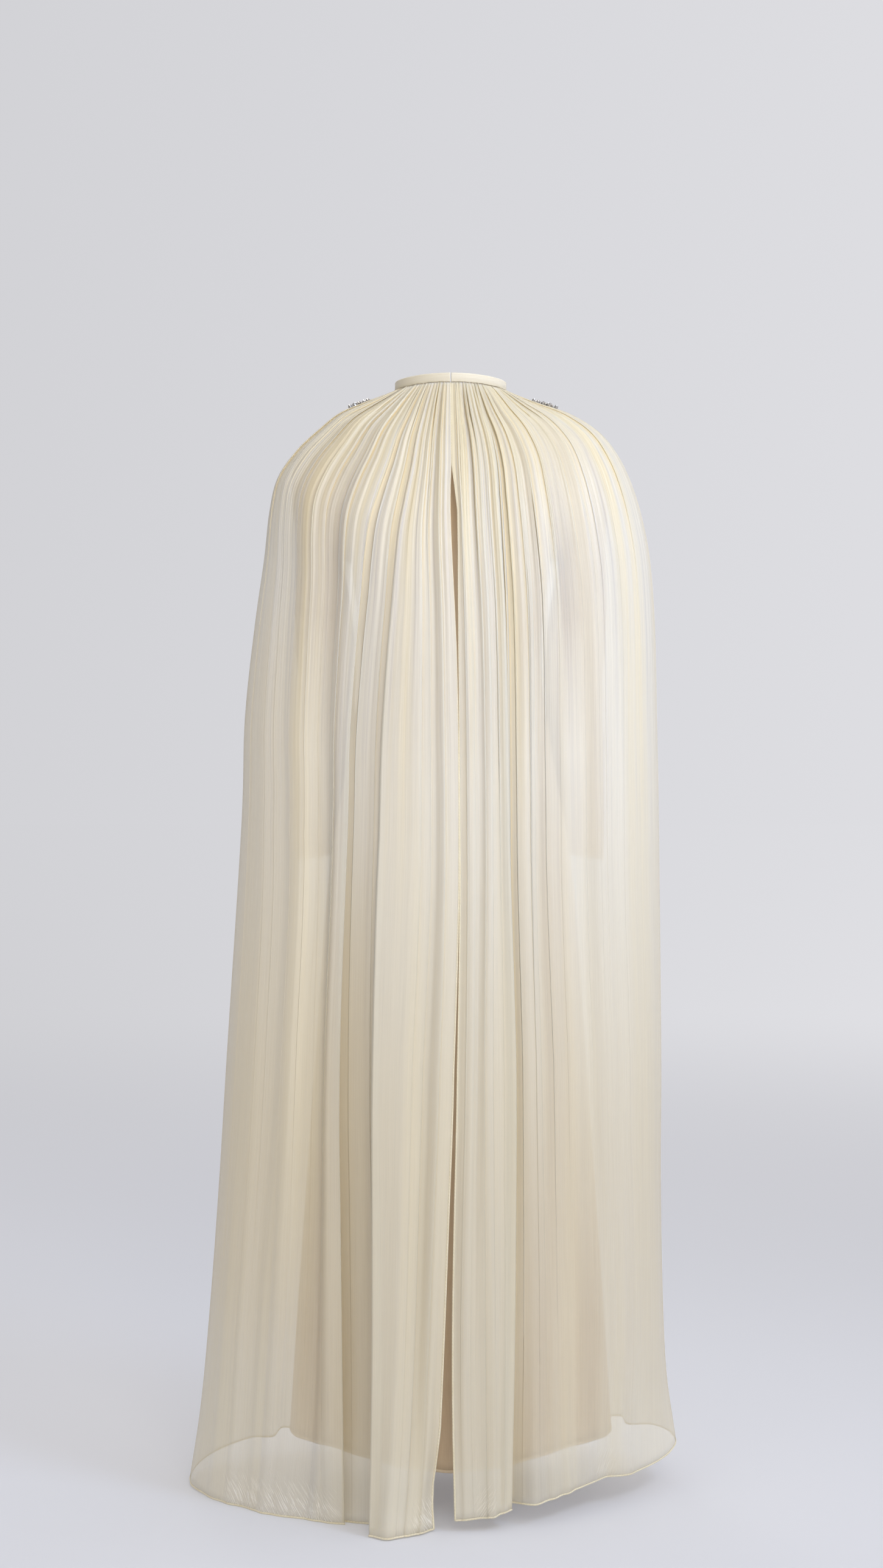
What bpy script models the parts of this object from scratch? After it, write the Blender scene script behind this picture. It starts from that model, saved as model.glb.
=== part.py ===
"""A floor-length cape abaya, kept in the hollow form that it has when worn.

The cape is four gathered cloth panels that hang from a neckband, open down the centre
back and the centre front. Under it is an A-line dress with long sleeves. The wearer
faces -Y, +X is the wearer's left, and the origin is the middle of the neck opening, level
with the points where neck and shoulder meet. All sizes are in metres.
"""

import math

import bpy
import numpy as np

# Driving sizes
CLOTH = 0.0015
DRESS_CLOTH = 0.0012
SEAM_GAP = 0.0003
NECKBAND_HEIGHT = 0.012
NECKBAND_OUT = 0.0012
NECKBAND_IN = 0.0046
NECKBAND_LEG = 0.0022
DRESS_INSET = 0.0028
DRESS_DROP = 0.0022

# Gathers at the neckline, for each back panel and each front panel
BACK_GATHERS = 28
FRONT_GATHERS = 18
COLUMNS_PER_GATHER = 2
SHOULDER_CALM = 0.6

# Share of the way round by which each front panel stops short of the centre of the neckline
NECK_OPENING = 0.035

# Rings of the cape, from the neckline down. Columns: height of the side, half width on the
# left and on the right, y of the side, y and height of the back, y and height of the front.
CAPE_RINGS = {
    "neckline": (0.000, 0.072, 0.072, 0.000, 0.062, 0.004, -0.078, -0.040),
    "nape": (-0.008, 0.090, 0.090, 0.000, 0.075, -0.016, -0.091, -0.054),
    "collarbone": (-0.0175, 0.114, 0.116, 0.000, 0.090, -0.042, -0.104, -0.076),
    "shoulder": (-0.031, 0.146, 0.157, 0.000, 0.105, -0.077, -0.118, -0.104),
    "shoulder_tip": (-0.052, 0.173, 0.193, 0.000, 0.118, -0.117, -0.131, -0.138),
    "yoke": (-0.080, 0.203, 0.217, 0.000, 0.129, -0.157, -0.142, -0.173),
    "upper_arm": (-0.115, 0.227, 0.235, 0.000, 0.137, -0.197, -0.150, -0.208),
    "armpit": (-0.160, 0.238, 0.250, -0.002, 0.143, -0.241, -0.155, -0.247),
    "blade": (-0.220, 0.245, 0.262, -0.004, 0.148, -0.292, -0.159, -0.294),
    "elbow": (-0.310, 0.258, 0.269, -0.008, 0.154, -0.366, -0.163, -0.364),
    "forearm": (-0.430, 0.271, 0.272, -0.013, 0.160, -0.466, -0.168, -0.464),
    "waist": (-0.570, 0.276, 0.275, -0.020, 0.166, -0.586, -0.175, -0.585),
    "thigh": (-0.870, 0.296, 0.279, -0.033, 0.175, -0.872, -0.194, -0.872),
    "knee": (-1.040, 0.307, 0.279, -0.041, 0.179, -1.040, -0.206, -1.040),
    "shin": (-1.210, 0.320, 0.282, -0.050, 0.182, -1.210, -0.221, -1.210),
    "ankle": (-1.345, 0.333, 0.288, -0.057, 0.183, -1.345, -0.237, -1.345),
    "hem": (-1.4445, 0.348, 0.301, -0.062, 0.183, -1.4445, -0.250, -1.4445),
}

# Folds of each panel, from its free edge to the side seam. Columns: the gather that the fold
# grows from, its distance from the centre line at the yoke, waist, thigh, shin and hem, and
# how far it stands out there, all in millimetres.
FOLD_LEVELS = ("yoke", "waist", "thigh", "shin", "hem")
BACK_LEFT_FOLDS = {
    "slit_edge": (0.0, -1, -10, -3, 9, 21, 0, 3, 8, 14, 6),
    "edge_ridge": (2.0, 15, 8, 15, 27, 38, 2, 9, 18, 30, 30),
    "edge_dip": (3.0, 26, 22, 32, 41, 52, -2, 2, 10, 24, 42),
    "flap_ridge": (4.5, 41, 52, 62, 66, 72, 3, 12, 22, 38, 58),
    "flap_edge": (6.0, 58, 90, 96, 93, 93, 2, 13, 23, 36, 46),
    "under_flap": (6.5, 63, 96, 101, 98, 98, -5, -9, -14, -16, -12),
    "recess": (8.0, 78, 112, 119, 117, 116, -2, -8, -16, -20, -13),
    "narrow_dip": (9.0, 90, 125, 133, 130, 126, -3, -12, -18, -22, -12),
    "narrow_ridge": (9.5, 96, 130, 139, 137, 134, 3, 8, 4, -2, -2),
    "narrow_back": (11.0, 110, 142, 153, 156, 158, 2, 4, 0, -4, -4),
    "shade_valley": (13.5, 135, 163, 173, 182, 190, -3, -13, -20, -20, -8),
    "hip_ridge": (17.0, 164, 194, 206, 225, 242, 3, 4, 1, -4, -5),
    "hip_dip": (19.5, 182, 217, 229, 252, 270, -2, -5, -8, -10, -12),
    "side_ridge": (23.0, 195, 243, 255, 280, 304, 2, 3, 2, 0, -8),
}
BACK_RIGHT_FOLDS = {
    "slit_edge": (0.0, 2, 11, 8, 2, 5, 0, 2, 6, 9, 12),
    "edge_ridge": (2.0, 15, 25, 23, 17, 20, 2, 11, 15, 17, 15),
    "edge_dip": (3.5, 27, 37, 34, 31, 34, -2, 2, 8, 13, 11),
    "mid_ridge": (4.5, 36, 48, 46, 48, 50, 3, 11, 13, 15, 16),
    "mid_dip": (6.0, 47, 59, 61, 62, 62, -2, 1, 7, 11, 10),
    "flap_edge": (7.5, 59, 73, 80, 78, 75, 3, 9, 11, 11, 6),
    "under_flap": (8.0, 64, 78, 86, 84, 81, -5, -9, -14, -20, -30),
    "bright_ridge": (10.0, 80, 94, 101, 105, 105, 3, 11, 6, 0, 2),
    "bright_dip": (11.5, 95, 110, 118, 125, 130, -3, -8, -7, -8, -8),
    "soft_ridge": (13.0, 108, 125, 135, 142, 151, 3, 5, 0, -6, -15),
    "grey_flat": (15.5, 126, 147, 157, 167, 178, -2, -5, -8, -14, -26),
    "deep_valley": (17.5, 143, 171, 180, 191, 202, -6, -17, -15, -18, -32),
    "arm_ridge": (19.0, 158, 188, 197, 209, 222, 3, 6, 1, -11, -35),
    "side_ridge": (23.0, 192, 228, 236, 244, 256, 1, 2, 1, -4, -24),
}
FRONT_FOLDS = {
    "front_edge": (0.0, 18, 34, 44, 56, 64, 2, 6, 8, 10, 10),
    "edge_dip": (1.5, 32, 50, 63, 76, 86, -2, -5, -8, -12, -14),
    "first_ridge": (3.0, 48, 68, 84, 98, 108, 3, 11, 14, 16, 16),
    "first_dip": (5.0, 68, 92, 107, 124, 136, -3, -10, -13, -16, -18),
    "second_ridge": (7.0, 90, 116, 132, 152, 166, 3, 9, 12, 15, 17),
    "second_dip": (9.5, 116, 144, 160, 182, 196, -4, -11, -13, -15, -16),
    "third_ridge": (12.0, 142, 172, 188, 210, 226, 3, 8, 9, 12, 14),
    "third_dip": (14.5, 166, 200, 214, 234, 250, -3, -6, -8, -9, -9),
    "side_ridge": (16.0, 190, 228, 238, 256, 272, 2, 4, 5, 6, 6),
}

# How high the hem hangs above its lowest point. Columns: share of the way round from the
# centre back (0) past the side (0.5) to the centre front (1), left height, right height.
HEM_LIFT = (
    (0.00, 0.002, 0.010),
    (0.15, 0.000, 0.016),
    (0.30, 0.000, 0.026),
    (0.50, 0.003, 0.054),
    (0.75, 0.030, 0.052),
    (1.00, 0.042, 0.042),
)

# How far the small gathers stand out, in millimetres, at rings of the cape
GATHER_HEIGHTS = (
    ("neckline", 0.0),
    ("collarbone", 1.5),
    ("yoke", 2.1),
    ("elbow", 1.3),
    ("waist", 0.7),
    ("knee", 0.0),
    ("hem", 0.0),
)

# Rings of the dress below the arms. Columns: height, half width, back y, front y.
DRESS_RINGS = {
    "chest": (-0.225, 0.130, 0.102, -0.116),
    "waist": (-0.375, 0.119, 0.096, -0.104),
    "hip": (-0.620, 0.158, 0.116, -0.117),
    "thigh": (-0.850, 0.176, 0.128, -0.130),
    "knee": (-1.110, 0.194, 0.138, -0.142),
    "hem": (-1.385, 0.211, 0.148, -0.152),
}
DRESS_COLUMNS = 15
NECK_COLUMN = 9
BODICE_ROWS = 6
WAIST_LEVEL = 1.0
SHOULDER_TIP = (0.157, 0.0, -0.048)
UNDERARM = (0.130, 0.0, -0.225)
BACK_ARMHOLE = (0.012, 0.048)
FRONT_ARMHOLE = (0.018, -0.052)

# Rings of a sleeve below the armhole. Columns: centre x, y and z, tilt of the ring in
# degrees, half length along the tilt, half depth front to back.
SLEEVE_RINGS = {
    "head": (0.1730, 0.000, -0.163, 62, 0.070, 0.048),
    "bicep": (0.1690, -0.004, -0.228, 42, 0.046, 0.045),
    "upper_arm": (0.1670, -0.012, -0.300, 0, 0.038, 0.042),
    "elbow": (0.1640, -0.030, -0.385, 0, 0.038, 0.040),
    "forearm": (0.1670, -0.050, -0.470, -3, 0.037, 0.039),
    "wrist": (0.1710, -0.068, -0.545, -8, 0.035, 0.037),
    "cuff": (0.1730, -0.083, -0.610, -8, 0.033, 0.035),
}

# The beaded ornament on each shoulder: where it lies on the cape's front panel
ORNAMENT_RINGS = (1.55, 2.70)
ORNAMENT_GATHERS = (15, 18)
ORNAMENT_THICKNESS = 0.0015
ORNAMENT_ROWS = 5

COLOURS = {
    "cape_cloth": ((0.90, 0.85, 0.70), 0.42),
    "dress_cloth": ((0.78, 0.66, 0.50), 0.60),
    "neckband_cloth": ((0.88, 0.82, 0.67), 0.50),
    "bead_backing": ((0.70, 0.69, 0.66), 0.30),
}

RING_NAMES = list(CAPE_RINGS)
RING_TABLE = np.array(list(CAPE_RINGS.values()))


def smooth_rows(table, at):
    """Rows of a table at fractional row numbers, on the cubic curve through its rows."""
    table = np.asarray(table, float)
    slopes = np.gradient(table, axis=0)
    at = np.clip(np.asarray(at, float), 0, len(table) - 1)
    low = np.minimum(at.astype(int), len(table) - 2)
    f = (at - low).reshape(at.shape + (1,) * (table.ndim - 1))
    p, q, m, n = table[low], table[low + 1], slopes[low], slopes[low + 1]
    return (
        (1 + 2 * f) * (1 - f) ** 2 * p
        + f * (1 - f) ** 2 * m
        + f * f * (3 - 2 * f) * q
        + f * f * (f - 1) * n
    )


def smooth_step(share):
    share = np.clip(share, 0, 1)
    return share * share * (3 - 2 * share)


def cape_form(side, ring, share):
    """Points of the cape's smooth form. ring is a fractional ring number and share the way
    round from the centre back; side is 1 on the left and -1 on the right."""
    ring, share = np.broadcast_arrays(np.asarray(ring, float), np.asarray(share, float))
    columns = np.moveaxis(smooth_rows(RING_TABLE, ring), -1, 0)
    side_z, left, right, side_y, back_y, back_z, front_y, front_z = columns
    turn = math.pi * share
    behind = np.cos(turn) > 0
    reach_y = np.where(behind, back_y - side_y, side_y - front_y)
    reach_z = np.where(behind, back_z - side_z, front_z - side_z)
    x = side * np.where(side > 0, left, right) * np.sin(turn)
    y = side_y + reach_y * np.cos(turn)
    z = side_z + reach_z * np.cos(turn) ** 2
    lift_share, lift_left, lift_right = np.array(HEM_LIFT).T
    lift = np.interp(share, lift_share, lift_left if side > 0 else lift_right)
    first = RING_NAMES.index("waist")
    fall = smooth_step((ring - first) / (len(RING_NAMES) - 1 - first)) ** 1.5
    return np.stack([x, y, z + lift * fall], axis=-1)


def cape_normals(side, ring, share):
    """Outward unit normals of the smooth form, from its slopes."""
    step = 1e-4
    last = len(RING_NAMES) - 1
    ring = np.clip(ring, 2 * step, last - 2 * step)
    along = cape_form(side, ring, share + step) - cape_form(side, ring, share - step)
    down = cape_form(side, ring + step, share) - cape_form(side, ring - step, share)
    normal = side * np.cross(along, down)
    return normal / np.linalg.norm(normal, axis=-1, keepdims=True)


def half_width(side, ring):
    return smooth_rows(RING_TABLE, ring)[..., 1 if side > 0 else 2]


def gather_height(ring):
    rings = [RING_NAMES.index(name) for name, _ in GATHER_HEIGHTS]
    return np.interp(ring, rings, [height / 1000 for _, height in GATHER_HEIGHTS])


def fold_lines(side, folds, ring, gathers, front):
    """For each row, the share of the way round and the height of each fold line, with the
    side seam as the last line. At the neckline the gathers are even."""
    numbers = np.array([row[0] for row in folds.values()])
    across = np.array([row[1:6] for row in folds.values()]).T / 1000
    heights = np.array([row[6:11] for row in folds.values()]).T / 1000
    even = 0.5 * numbers / gathers
    even[0] = math.asin(SEAM_GAP / RING_TABLE[0][1]) / math.pi
    if front:
        even = even + NECK_OPENING * (1 - numbers / gathers)
    levels = [0] + [RING_NAMES.index(name) for name in FOLD_LEVELS]
    at = np.interp(ring, levels, np.arange(len(levels)))
    reach = across / half_width(side, np.array(levels[1:], float))[:, None]
    share = np.arcsin(np.clip(reach, -1, 0.985)) / math.pi
    share = smooth_rows(np.vstack([even, share]), at)
    heights = smooth_rows(np.vstack([0 * even, heights]), at)
    share = np.column_stack([share, np.full(len(ring), 0.5)])
    heights = np.column_stack([heights, np.zeros(len(ring))])
    return np.append(numbers, gathers), (1 - share if front else share), heights


def panel_points(side, folds, gathers, front, rings, crests=False):
    """Points of one cape panel, a row for each ring number and a column for each half gather.
    crests is True for the surface that lies on the crests of the gathers."""
    numbers, share_lines, height_lines = fold_lines(side, folds, rings, gathers, front)
    column = np.arange(gathers * COLUMNS_PER_GATHER + 1) / COLUMNS_PER_GATHER
    low = np.clip(np.searchsorted(numbers, column, side="right") - 1, 0, len(numbers) - 2)
    f = (column - numbers[low]) / (numbers[low + 1] - numbers[low])
    share = share_lines[:, low] * (1 - f) + share_lines[:, low + 1] * f
    eased = smooth_step(f)
    height = height_lines[:, low] * (1 - eased) + height_lines[:, low + 1] * eased
    uneven = 0.75 + 0.25 * np.sin(2.3 * np.floor(column) + 1.1 * side + (4 if front else 0))
    fade = smooth_step(np.minimum(column, gathers - column) / 1.5)
    fade = fade * (1 - SHOULDER_CALM * column / gathers)
    wave = fade if crests else np.cos(2 * math.pi * column) * uneven * fade
    height = height + gather_height(rings)[:, None] * wave
    ring = np.broadcast_to(rings[:, None], share.shape)
    points = cape_form(side, ring, share) + cape_normals(side, ring, share) * height[..., None]
    points[:, -1, 1] = smooth_rows(RING_TABLE, rings)[:, 3] + 0.5 * SEAM_GAP * (-1 if front else 1)
    return points


def grid_faces(rows, columns, closed=False):
    """Triangles between neighbouring rows and columns; closed joins the last column to the
    first. Both sides of a wall use them, so that their diagonals match."""
    i, j = np.meshgrid(np.arange(rows - 1), np.arange(columns - (not closed)), indexing="ij")
    k = (j + 1) % columns
    upper = [i * columns + j, i * columns + k, (i + 1) * columns + k]
    lower = [i * columns + j, (i + 1) * columns + k, (i + 1) * columns + j]
    return np.concatenate([np.stack(corners, -1).reshape(-1, 3) for corners in (upper, lower)])


def material(slot):
    """The slot's plain Principled material."""
    found = bpy.data.materials.get(slot)
    if found:
        return found
    colour, roughness = COLOURS[slot]
    found = bpy.data.materials.new(slot)
    found.use_nodes = True
    shader = found.node_tree.nodes["Principled BSDF"]
    shader.inputs["Base Color"].default_value = (*colour, 1)
    shader.inputs["Roughness"].default_value = roughness
    shader.inputs["Metallic"].default_value = 0
    return found


def unit(vectors):
    return vectors / np.linalg.norm(vectors, axis=-1, keepdims=True)


def wall_directions(points, closed=False, seam=False):
    """Outward unit vectors of a grid of points, halfway between the strips on both sides. At a
    seam column, the last one, they have no part along y, so that the walls on both sides of
    the seam stay parallel."""
    down = np.gradient(points, axis=0)
    steps = unit(np.diff(points, axis=1, append=points[:, :1]))
    if not closed:
        steps[:, -1] = steps[:, -2]
    before = np.roll(steps, 1, axis=1)
    if not closed:
        before[:, 0] = steps[:, 0]
    away = np.cross(steps + before, down)
    if seam:
        away[:, -1, 1] = 0
    return unit(away)


def add_wall(name, points, inner, slot, flip, closed=False):
    """A named cloth wall: an outer and an inner grid of points, joined round their edges."""
    rows, columns = points.shape[:2]
    count = rows * columns
    outer_faces = grid_faces(rows, columns, closed)
    grid = np.arange(count).reshape(rows, columns)
    edges = [grid[0], grid[-1, ::-1]]
    if closed:
        edges = [np.append(edge, edge[0]) for edge in edges]
    else:
        edges += [grid[::-1, 0], grid[:, -1]]
    faces = [outer_faces, outer_faces[:, ::-1] + count]
    for edge in edges:
        start, end = edge[:-1], edge[1:]
        faces += [np.stack([end, start, start + count], -1)]
        faces += [np.stack([end, start + count, end + count], -1)]
    faces = np.concatenate(faces)
    mesh = bpy.data.meshes.new(name)
    corners = np.concatenate([points.reshape(-1, 3), inner.reshape(-1, 3)])
    mesh.from_pydata(corners.tolist(), [], (faces[:, ::-1] if flip else faces).tolist())
    mesh.materials.append(material(slot))
    found = bpy.data.objects.new(name, mesh)
    bpy.context.scene.collection.objects.link(found)
    found.parent = bpy.data.objects["cape_abaya"]


def add_cape_panel(name, side, folds, gathers, front, rings):
    points = panel_points(side, folds, gathers, front, rings)
    flip = (side < 0) != front
    away = wall_directions(points, seam=True) * (-1 if flip else 1)
    add_wall(name, points, points - CLOTH * away, "cape_cloth", flip)


def neckline(share, side, out=0.0):
    """Points on the neckline, moved out level by out."""
    points = cape_form(side, 0.0 * share, share)
    away = points * (1, 1, 0)
    away /= np.linalg.norm(away, axis=-1, keepdims=True)
    return points + away * out


def add_neckband():
    """A binding swept round the neckline, with a rounded top, split at the centre back. Its
    inner leg reaches down to the dress."""
    low = 2 * SEAM_GAP
    top = low + NECKBAND_HEIGHT
    soft = 0.0012
    leg = SEAM_GAP - DRESS_DROP
    profile = (
        (NECKBAND_OUT, low),
        (NECKBAND_OUT, top - 2 * soft),
        (NECKBAND_OUT - soft, top),
        (soft - NECKBAND_IN, top),
        (-NECKBAND_IN, top - 2 * soft),
        (-NECKBAND_IN, leg),
        (-NECKBAND_LEG, leg),
        (-NECKBAND_LEG, low),
    )
    half = np.linspace(0, 1, 2 * NECK_COLUMN + 1)
    half[0] = 2 * SEAM_GAP / (math.pi * RING_TABLE[0][1])
    rings = []
    for out, rise in profile:
        left = neckline(half, 1, out)
        right = neckline(half[::-1], -1, out)[1:]
        line = np.concatenate([left, right])
        line[:, 2] += rise
        rings.append(line)
    points = np.stack(rings, axis=1)
    rows, columns = points.shape[:2]
    faces = grid_faces(rows, columns, closed=True).tolist()
    faces.append(list(range(columns))[::-1])
    faces.append([(rows - 1) * columns + k for k in range(columns)])
    mesh = bpy.data.meshes.new("neckband")
    mesh.from_pydata(points.reshape(-1, 3).tolist(), [], faces)
    mesh.materials.append(material("neckband_cloth"))
    found = bpy.data.objects.new("neckband", mesh)
    bpy.context.scene.collection.objects.link(found)
    found.parent = bpy.data.objects["cape_abaya"]


def armhole(depth, share):
    """Points down one edge of the armhole, from the shoulder tip to the underarm."""
    hollow, reach_y = depth
    tip, low = np.array(SHOULDER_TIP), np.array(UNDERARM)
    points = tip + (low - tip) * share[:, None]
    points[:, 0] -= hollow * np.sin(math.pi * share)
    points[:, 1] += reach_y * np.sin(math.pi * share) ** 0.8
    return points


def dress_top_edge(front, share):
    """Half of a dress panel's top edge: neckline from the centre to the neck point, then the
    shoulder seam to the shoulder tip. share runs from 0 to 1."""
    neck_part = NECK_COLUMN / (DRESS_COLUMNS - 1)
    round_share = np.clip(share / neck_part, 0, 1) / 2
    points = neckline(1 - round_share if front else round_share, 1, -DRESS_INSET)
    points[:, 2] -= DRESS_DROP
    gap = 0.5 * SEAM_GAP * (-1 if front else 1)
    along = np.clip((share - neck_part) / (1 - neck_part), 0, 1)[:, None]
    start = points[NECK_COLUMN]
    seam = start + (np.array(SHOULDER_TIP) - start) * along
    seam[:, 1] = gap
    blend = (share > neck_part)[:, None]
    points[:, 1] = np.where(np.abs(points[:, 1]) < abs(gap), gap, points[:, 1])
    return np.where(blend, seam, points)


def dress_ring(front, level, share):
    """Half of a dress panel's section at a fractional level, from the centre to the side."""
    table = np.array(list(DRESS_RINGS.values()))
    z, width, back_y, front_y = np.moveaxis(smooth_rows(table, level), -1, 0)
    turn = 0.5 * math.pi * share
    depth = front_y if front else back_y
    gap = 0.5 * SEAM_GAP * (-1 if front else 1)
    y = depth * np.cos(turn)
    y = np.where(np.abs(y) < abs(gap), gap, y)
    soft = 1 + 0.02 * (level / (len(DRESS_RINGS) - 1)) * np.cos(10 * math.pi * share)
    return np.stack([width * np.sin(turn), y * soft, 0 * turn + z], axis=-1)


def bodice_half(front):
    """Points of half a bodice panel, down to the waist: a patch between its four edges,
    swelled at the shoulder blade or the bust, then the rings down to the waist."""
    share = np.linspace(0, 1, DRESS_COLUMNS)
    top = dress_top_edge(front, share)
    chest = dress_ring(front, 0.0, share)
    down = np.linspace(0, 1, BODICE_ROWS)
    side = armhole(FRONT_ARMHOLE if front else BACK_ARMHOLE, down)
    side[[0, -1], 1] = top[-1, 1], chest[-1, 1]
    centre = top[0] + (chest[0] - top[0]) * down[:, None]
    u, v = share[None, :, None], down[:, None, None]
    patch = (
        (1 - v) * top[None] + v * chest[None] + (1 - u) * centre[:, None] + u * side[:, None]
        - (1 - u) * (1 - v) * top[0] - u * (1 - v) * top[-1] - (1 - u) * v * chest[0] - u * v * chest[-1]
    )
    arch = np.sin(math.pi * down)[:, None]
    middle, shoulder = (-0.006, -0.010) if front else (0.006, 0.010)
    patch[..., 1] += middle * arch * np.cos(0.5 * math.pi * share)
    patch[..., 1] += shoulder * arch**0.7 * np.sin(math.pi * share**0.8)
    levels = np.linspace(0, WAIST_LEVEL, 3)[1:]
    below = np.stack([dress_ring(front, level, share) for level in levels])
    below[-1, :, 2] += 0.5 * SEAM_GAP
    return np.concatenate([patch, below])


def skirt_half(front):
    """Points of half a skirt panel, from the waist down."""
    share = np.linspace(0, 1, DRESS_COLUMNS)
    levels = np.arange(WAIST_LEVEL, len(DRESS_RINGS))
    rings = np.stack([dress_ring(front, level, share) for level in levels])
    rings[0, :, 2] -= 0.5 * SEAM_GAP
    return rings


def add_dress_panel(name, half, front, waist_row):
    """Both halves of a bodice or skirt panel. At the waist the wall is level."""
    away = wall_directions(half, seam=True) * (-1 if front else 1)
    away[:, 0, 0] = 0
    away[waist_row, :, 2] = 0
    if waist_row != 0:
        away[0, NECK_COLUMN:, 1] = 0
    away = unit(away)
    mirror = (-1, 1, 1)
    whole = np.concatenate([half[:, :0:-1] * mirror, half], axis=1)
    inner = half - DRESS_CLOTH * away
    inner = np.concatenate([inner[:, :0:-1] * mirror, inner], axis=1)
    add_wall(name, whole, inner, "dress_cloth", front)


def sleeve_points(side, around=14):
    """Points of the upper and the lower half of a sleeve: its head follows the armhole, and
    each ring below is an ellipse. The halves meet at the elbow."""
    turn = 2 * math.pi * np.arange(around) / around
    down = np.where(turn <= math.pi, turn, 2 * math.pi - turn) / math.pi
    head = np.where(
        (turn <= math.pi)[:, None],
        armhole(BACK_ARMHOLE, down),
        armhole(FRONT_ARMHOLE, down),
    )
    head[:, 0] += DRESS_CLOTH + SEAM_GAP
    rings = [head]
    for x, y, z, tilt, length, depth in SLEEVE_RINGS.values():
        lean = math.radians(tilt)
        long_axis = np.array([math.cos(lean), 0, math.sin(lean)])
        ring = np.array([x, y, z]) + length * np.cos(turn)[:, None] * long_axis
        ring[:, 1] += depth * np.sin(turn)
        rings.append(ring)
    elbow = 1 + list(SLEEVE_RINGS).index("elbow")
    upper = smooth_rows(np.stack(rings), np.linspace(0, elbow, 7)) * (side, 1, 1)
    lower = smooth_rows(np.stack(rings), np.linspace(elbow, len(SLEEVE_RINGS), 5)) * (side, 1, 1)
    upper[-1, :, 2] += 0.5 * SEAM_GAP
    lower[0, :, 2] -= 0.5 * SEAM_GAP
    return upper, lower


def add_sleeve(name, points, side, elbow_row):
    """One half of a sleeve. At the elbow its wall is level."""
    flip = side > 0
    away = wall_directions(points, closed=True) * (-1 if flip else 1)
    away[elbow_row, :, 2] = 0
    away = unit(away)
    add_wall(name, points, points - DRESS_CLOTH * away, "dress_cloth", flip, closed=True)


def add_ornament(name, side):
    """The backing of the shoulder beads: a patch of the front panel's crests, moved out."""
    rings = np.arange(len(RING_NAMES), dtype=float)
    crests = panel_points(side, FRONT_FOLDS, FRONT_GATHERS, True, rings, crests=True)
    away = wall_directions(crests, seam=True) * (1 if side < 0 else -1)
    start, end = (np.array(ORNAMENT_GATHERS) * COLUMNS_PER_GATHER).astype(int)
    at = np.linspace(*ORNAMENT_RINGS, ORNAMENT_ROWS)
    low = at.astype(int)
    f = (at - low)[:, None, None]
    under = crests[low, start:end] * (1 - f) + crests[low + 1, start:end] * f
    away = away[low, start:end] * (1 - f) + away[low + 1, start:end] * f
    under = under + away * 2 * SEAM_GAP
    add_wall(name, under + away * ORNAMENT_THICKNESS, under, "bead_backing", side > 0)


def main():
    for old in list(bpy.data.objects):
        bpy.data.objects.remove(old)
    garment = bpy.data.objects.new("cape_abaya", None)
    bpy.context.scene.collection.objects.link(garment)
    rings = np.arange(len(RING_NAMES), dtype=float)
    add_cape_panel("cape_back_left", 1, BACK_LEFT_FOLDS, BACK_GATHERS, False, rings)
    add_cape_panel("cape_back_right", -1, BACK_RIGHT_FOLDS, BACK_GATHERS, False, rings)
    add_cape_panel("cape_front_left", 1, FRONT_FOLDS, FRONT_GATHERS, True, rings)
    add_cape_panel("cape_front_right", -1, FRONT_FOLDS, FRONT_GATHERS, True, rings)
    add_neckband()
    for place, front in (("back", False), ("front", True)):
        add_dress_panel(f"dress_bodice_{place}", bodice_half(front), front, waist_row=-1)
        add_dress_panel(f"dress_skirt_{place}", skirt_half(front), front, waist_row=0)
    for place, side in (("left", 1), ("right", -1)):
        upper, lower = sleeve_points(side)
        add_sleeve(f"sleeve_upper_{place}", upper, side, elbow_row=-1)
        add_sleeve(f"sleeve_lower_{place}", lower, side, elbow_row=0)
    add_ornament("shoulder_ornament_left", 1)
    add_ornament("shoulder_ornament_right", -1)


main()
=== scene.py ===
"""The looks of the cape abaya: sheer gathered cape panels over a plain dress, with a bound
neckline and beaded shoulders. The wearer faces -Y and +X is the wearer's left. Sizes are in
metres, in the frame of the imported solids, where a comment doesn't say millimetres."""

import math
from collections import namedtuple

import bpy
import mathutils
import numpy as np
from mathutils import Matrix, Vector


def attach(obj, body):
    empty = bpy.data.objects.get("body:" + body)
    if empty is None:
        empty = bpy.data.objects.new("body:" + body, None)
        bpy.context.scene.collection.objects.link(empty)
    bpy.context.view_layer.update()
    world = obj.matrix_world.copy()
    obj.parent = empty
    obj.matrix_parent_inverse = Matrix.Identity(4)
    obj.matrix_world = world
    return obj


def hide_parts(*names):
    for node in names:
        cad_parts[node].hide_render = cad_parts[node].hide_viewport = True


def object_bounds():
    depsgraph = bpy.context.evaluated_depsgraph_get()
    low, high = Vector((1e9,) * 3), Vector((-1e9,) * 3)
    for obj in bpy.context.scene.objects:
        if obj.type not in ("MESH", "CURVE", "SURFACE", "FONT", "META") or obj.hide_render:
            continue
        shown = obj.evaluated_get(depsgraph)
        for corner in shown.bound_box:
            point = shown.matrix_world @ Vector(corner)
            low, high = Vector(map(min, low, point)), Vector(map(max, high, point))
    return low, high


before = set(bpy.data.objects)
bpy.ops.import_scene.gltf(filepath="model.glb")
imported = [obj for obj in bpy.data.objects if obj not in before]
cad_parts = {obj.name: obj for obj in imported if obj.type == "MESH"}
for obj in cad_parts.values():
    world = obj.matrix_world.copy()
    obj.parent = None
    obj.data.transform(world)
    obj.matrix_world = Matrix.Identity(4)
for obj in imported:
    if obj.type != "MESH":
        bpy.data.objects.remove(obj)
solid_box = [list(corner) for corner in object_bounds()]

FLOOR = solid_box[0][2]
FLOOR_CLEARANCE = 0.0004
SEAM_GAP = 0.0003
CAPE_CLOTH = 0.0006
DRESS_CLOTH = 0.0008
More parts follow.
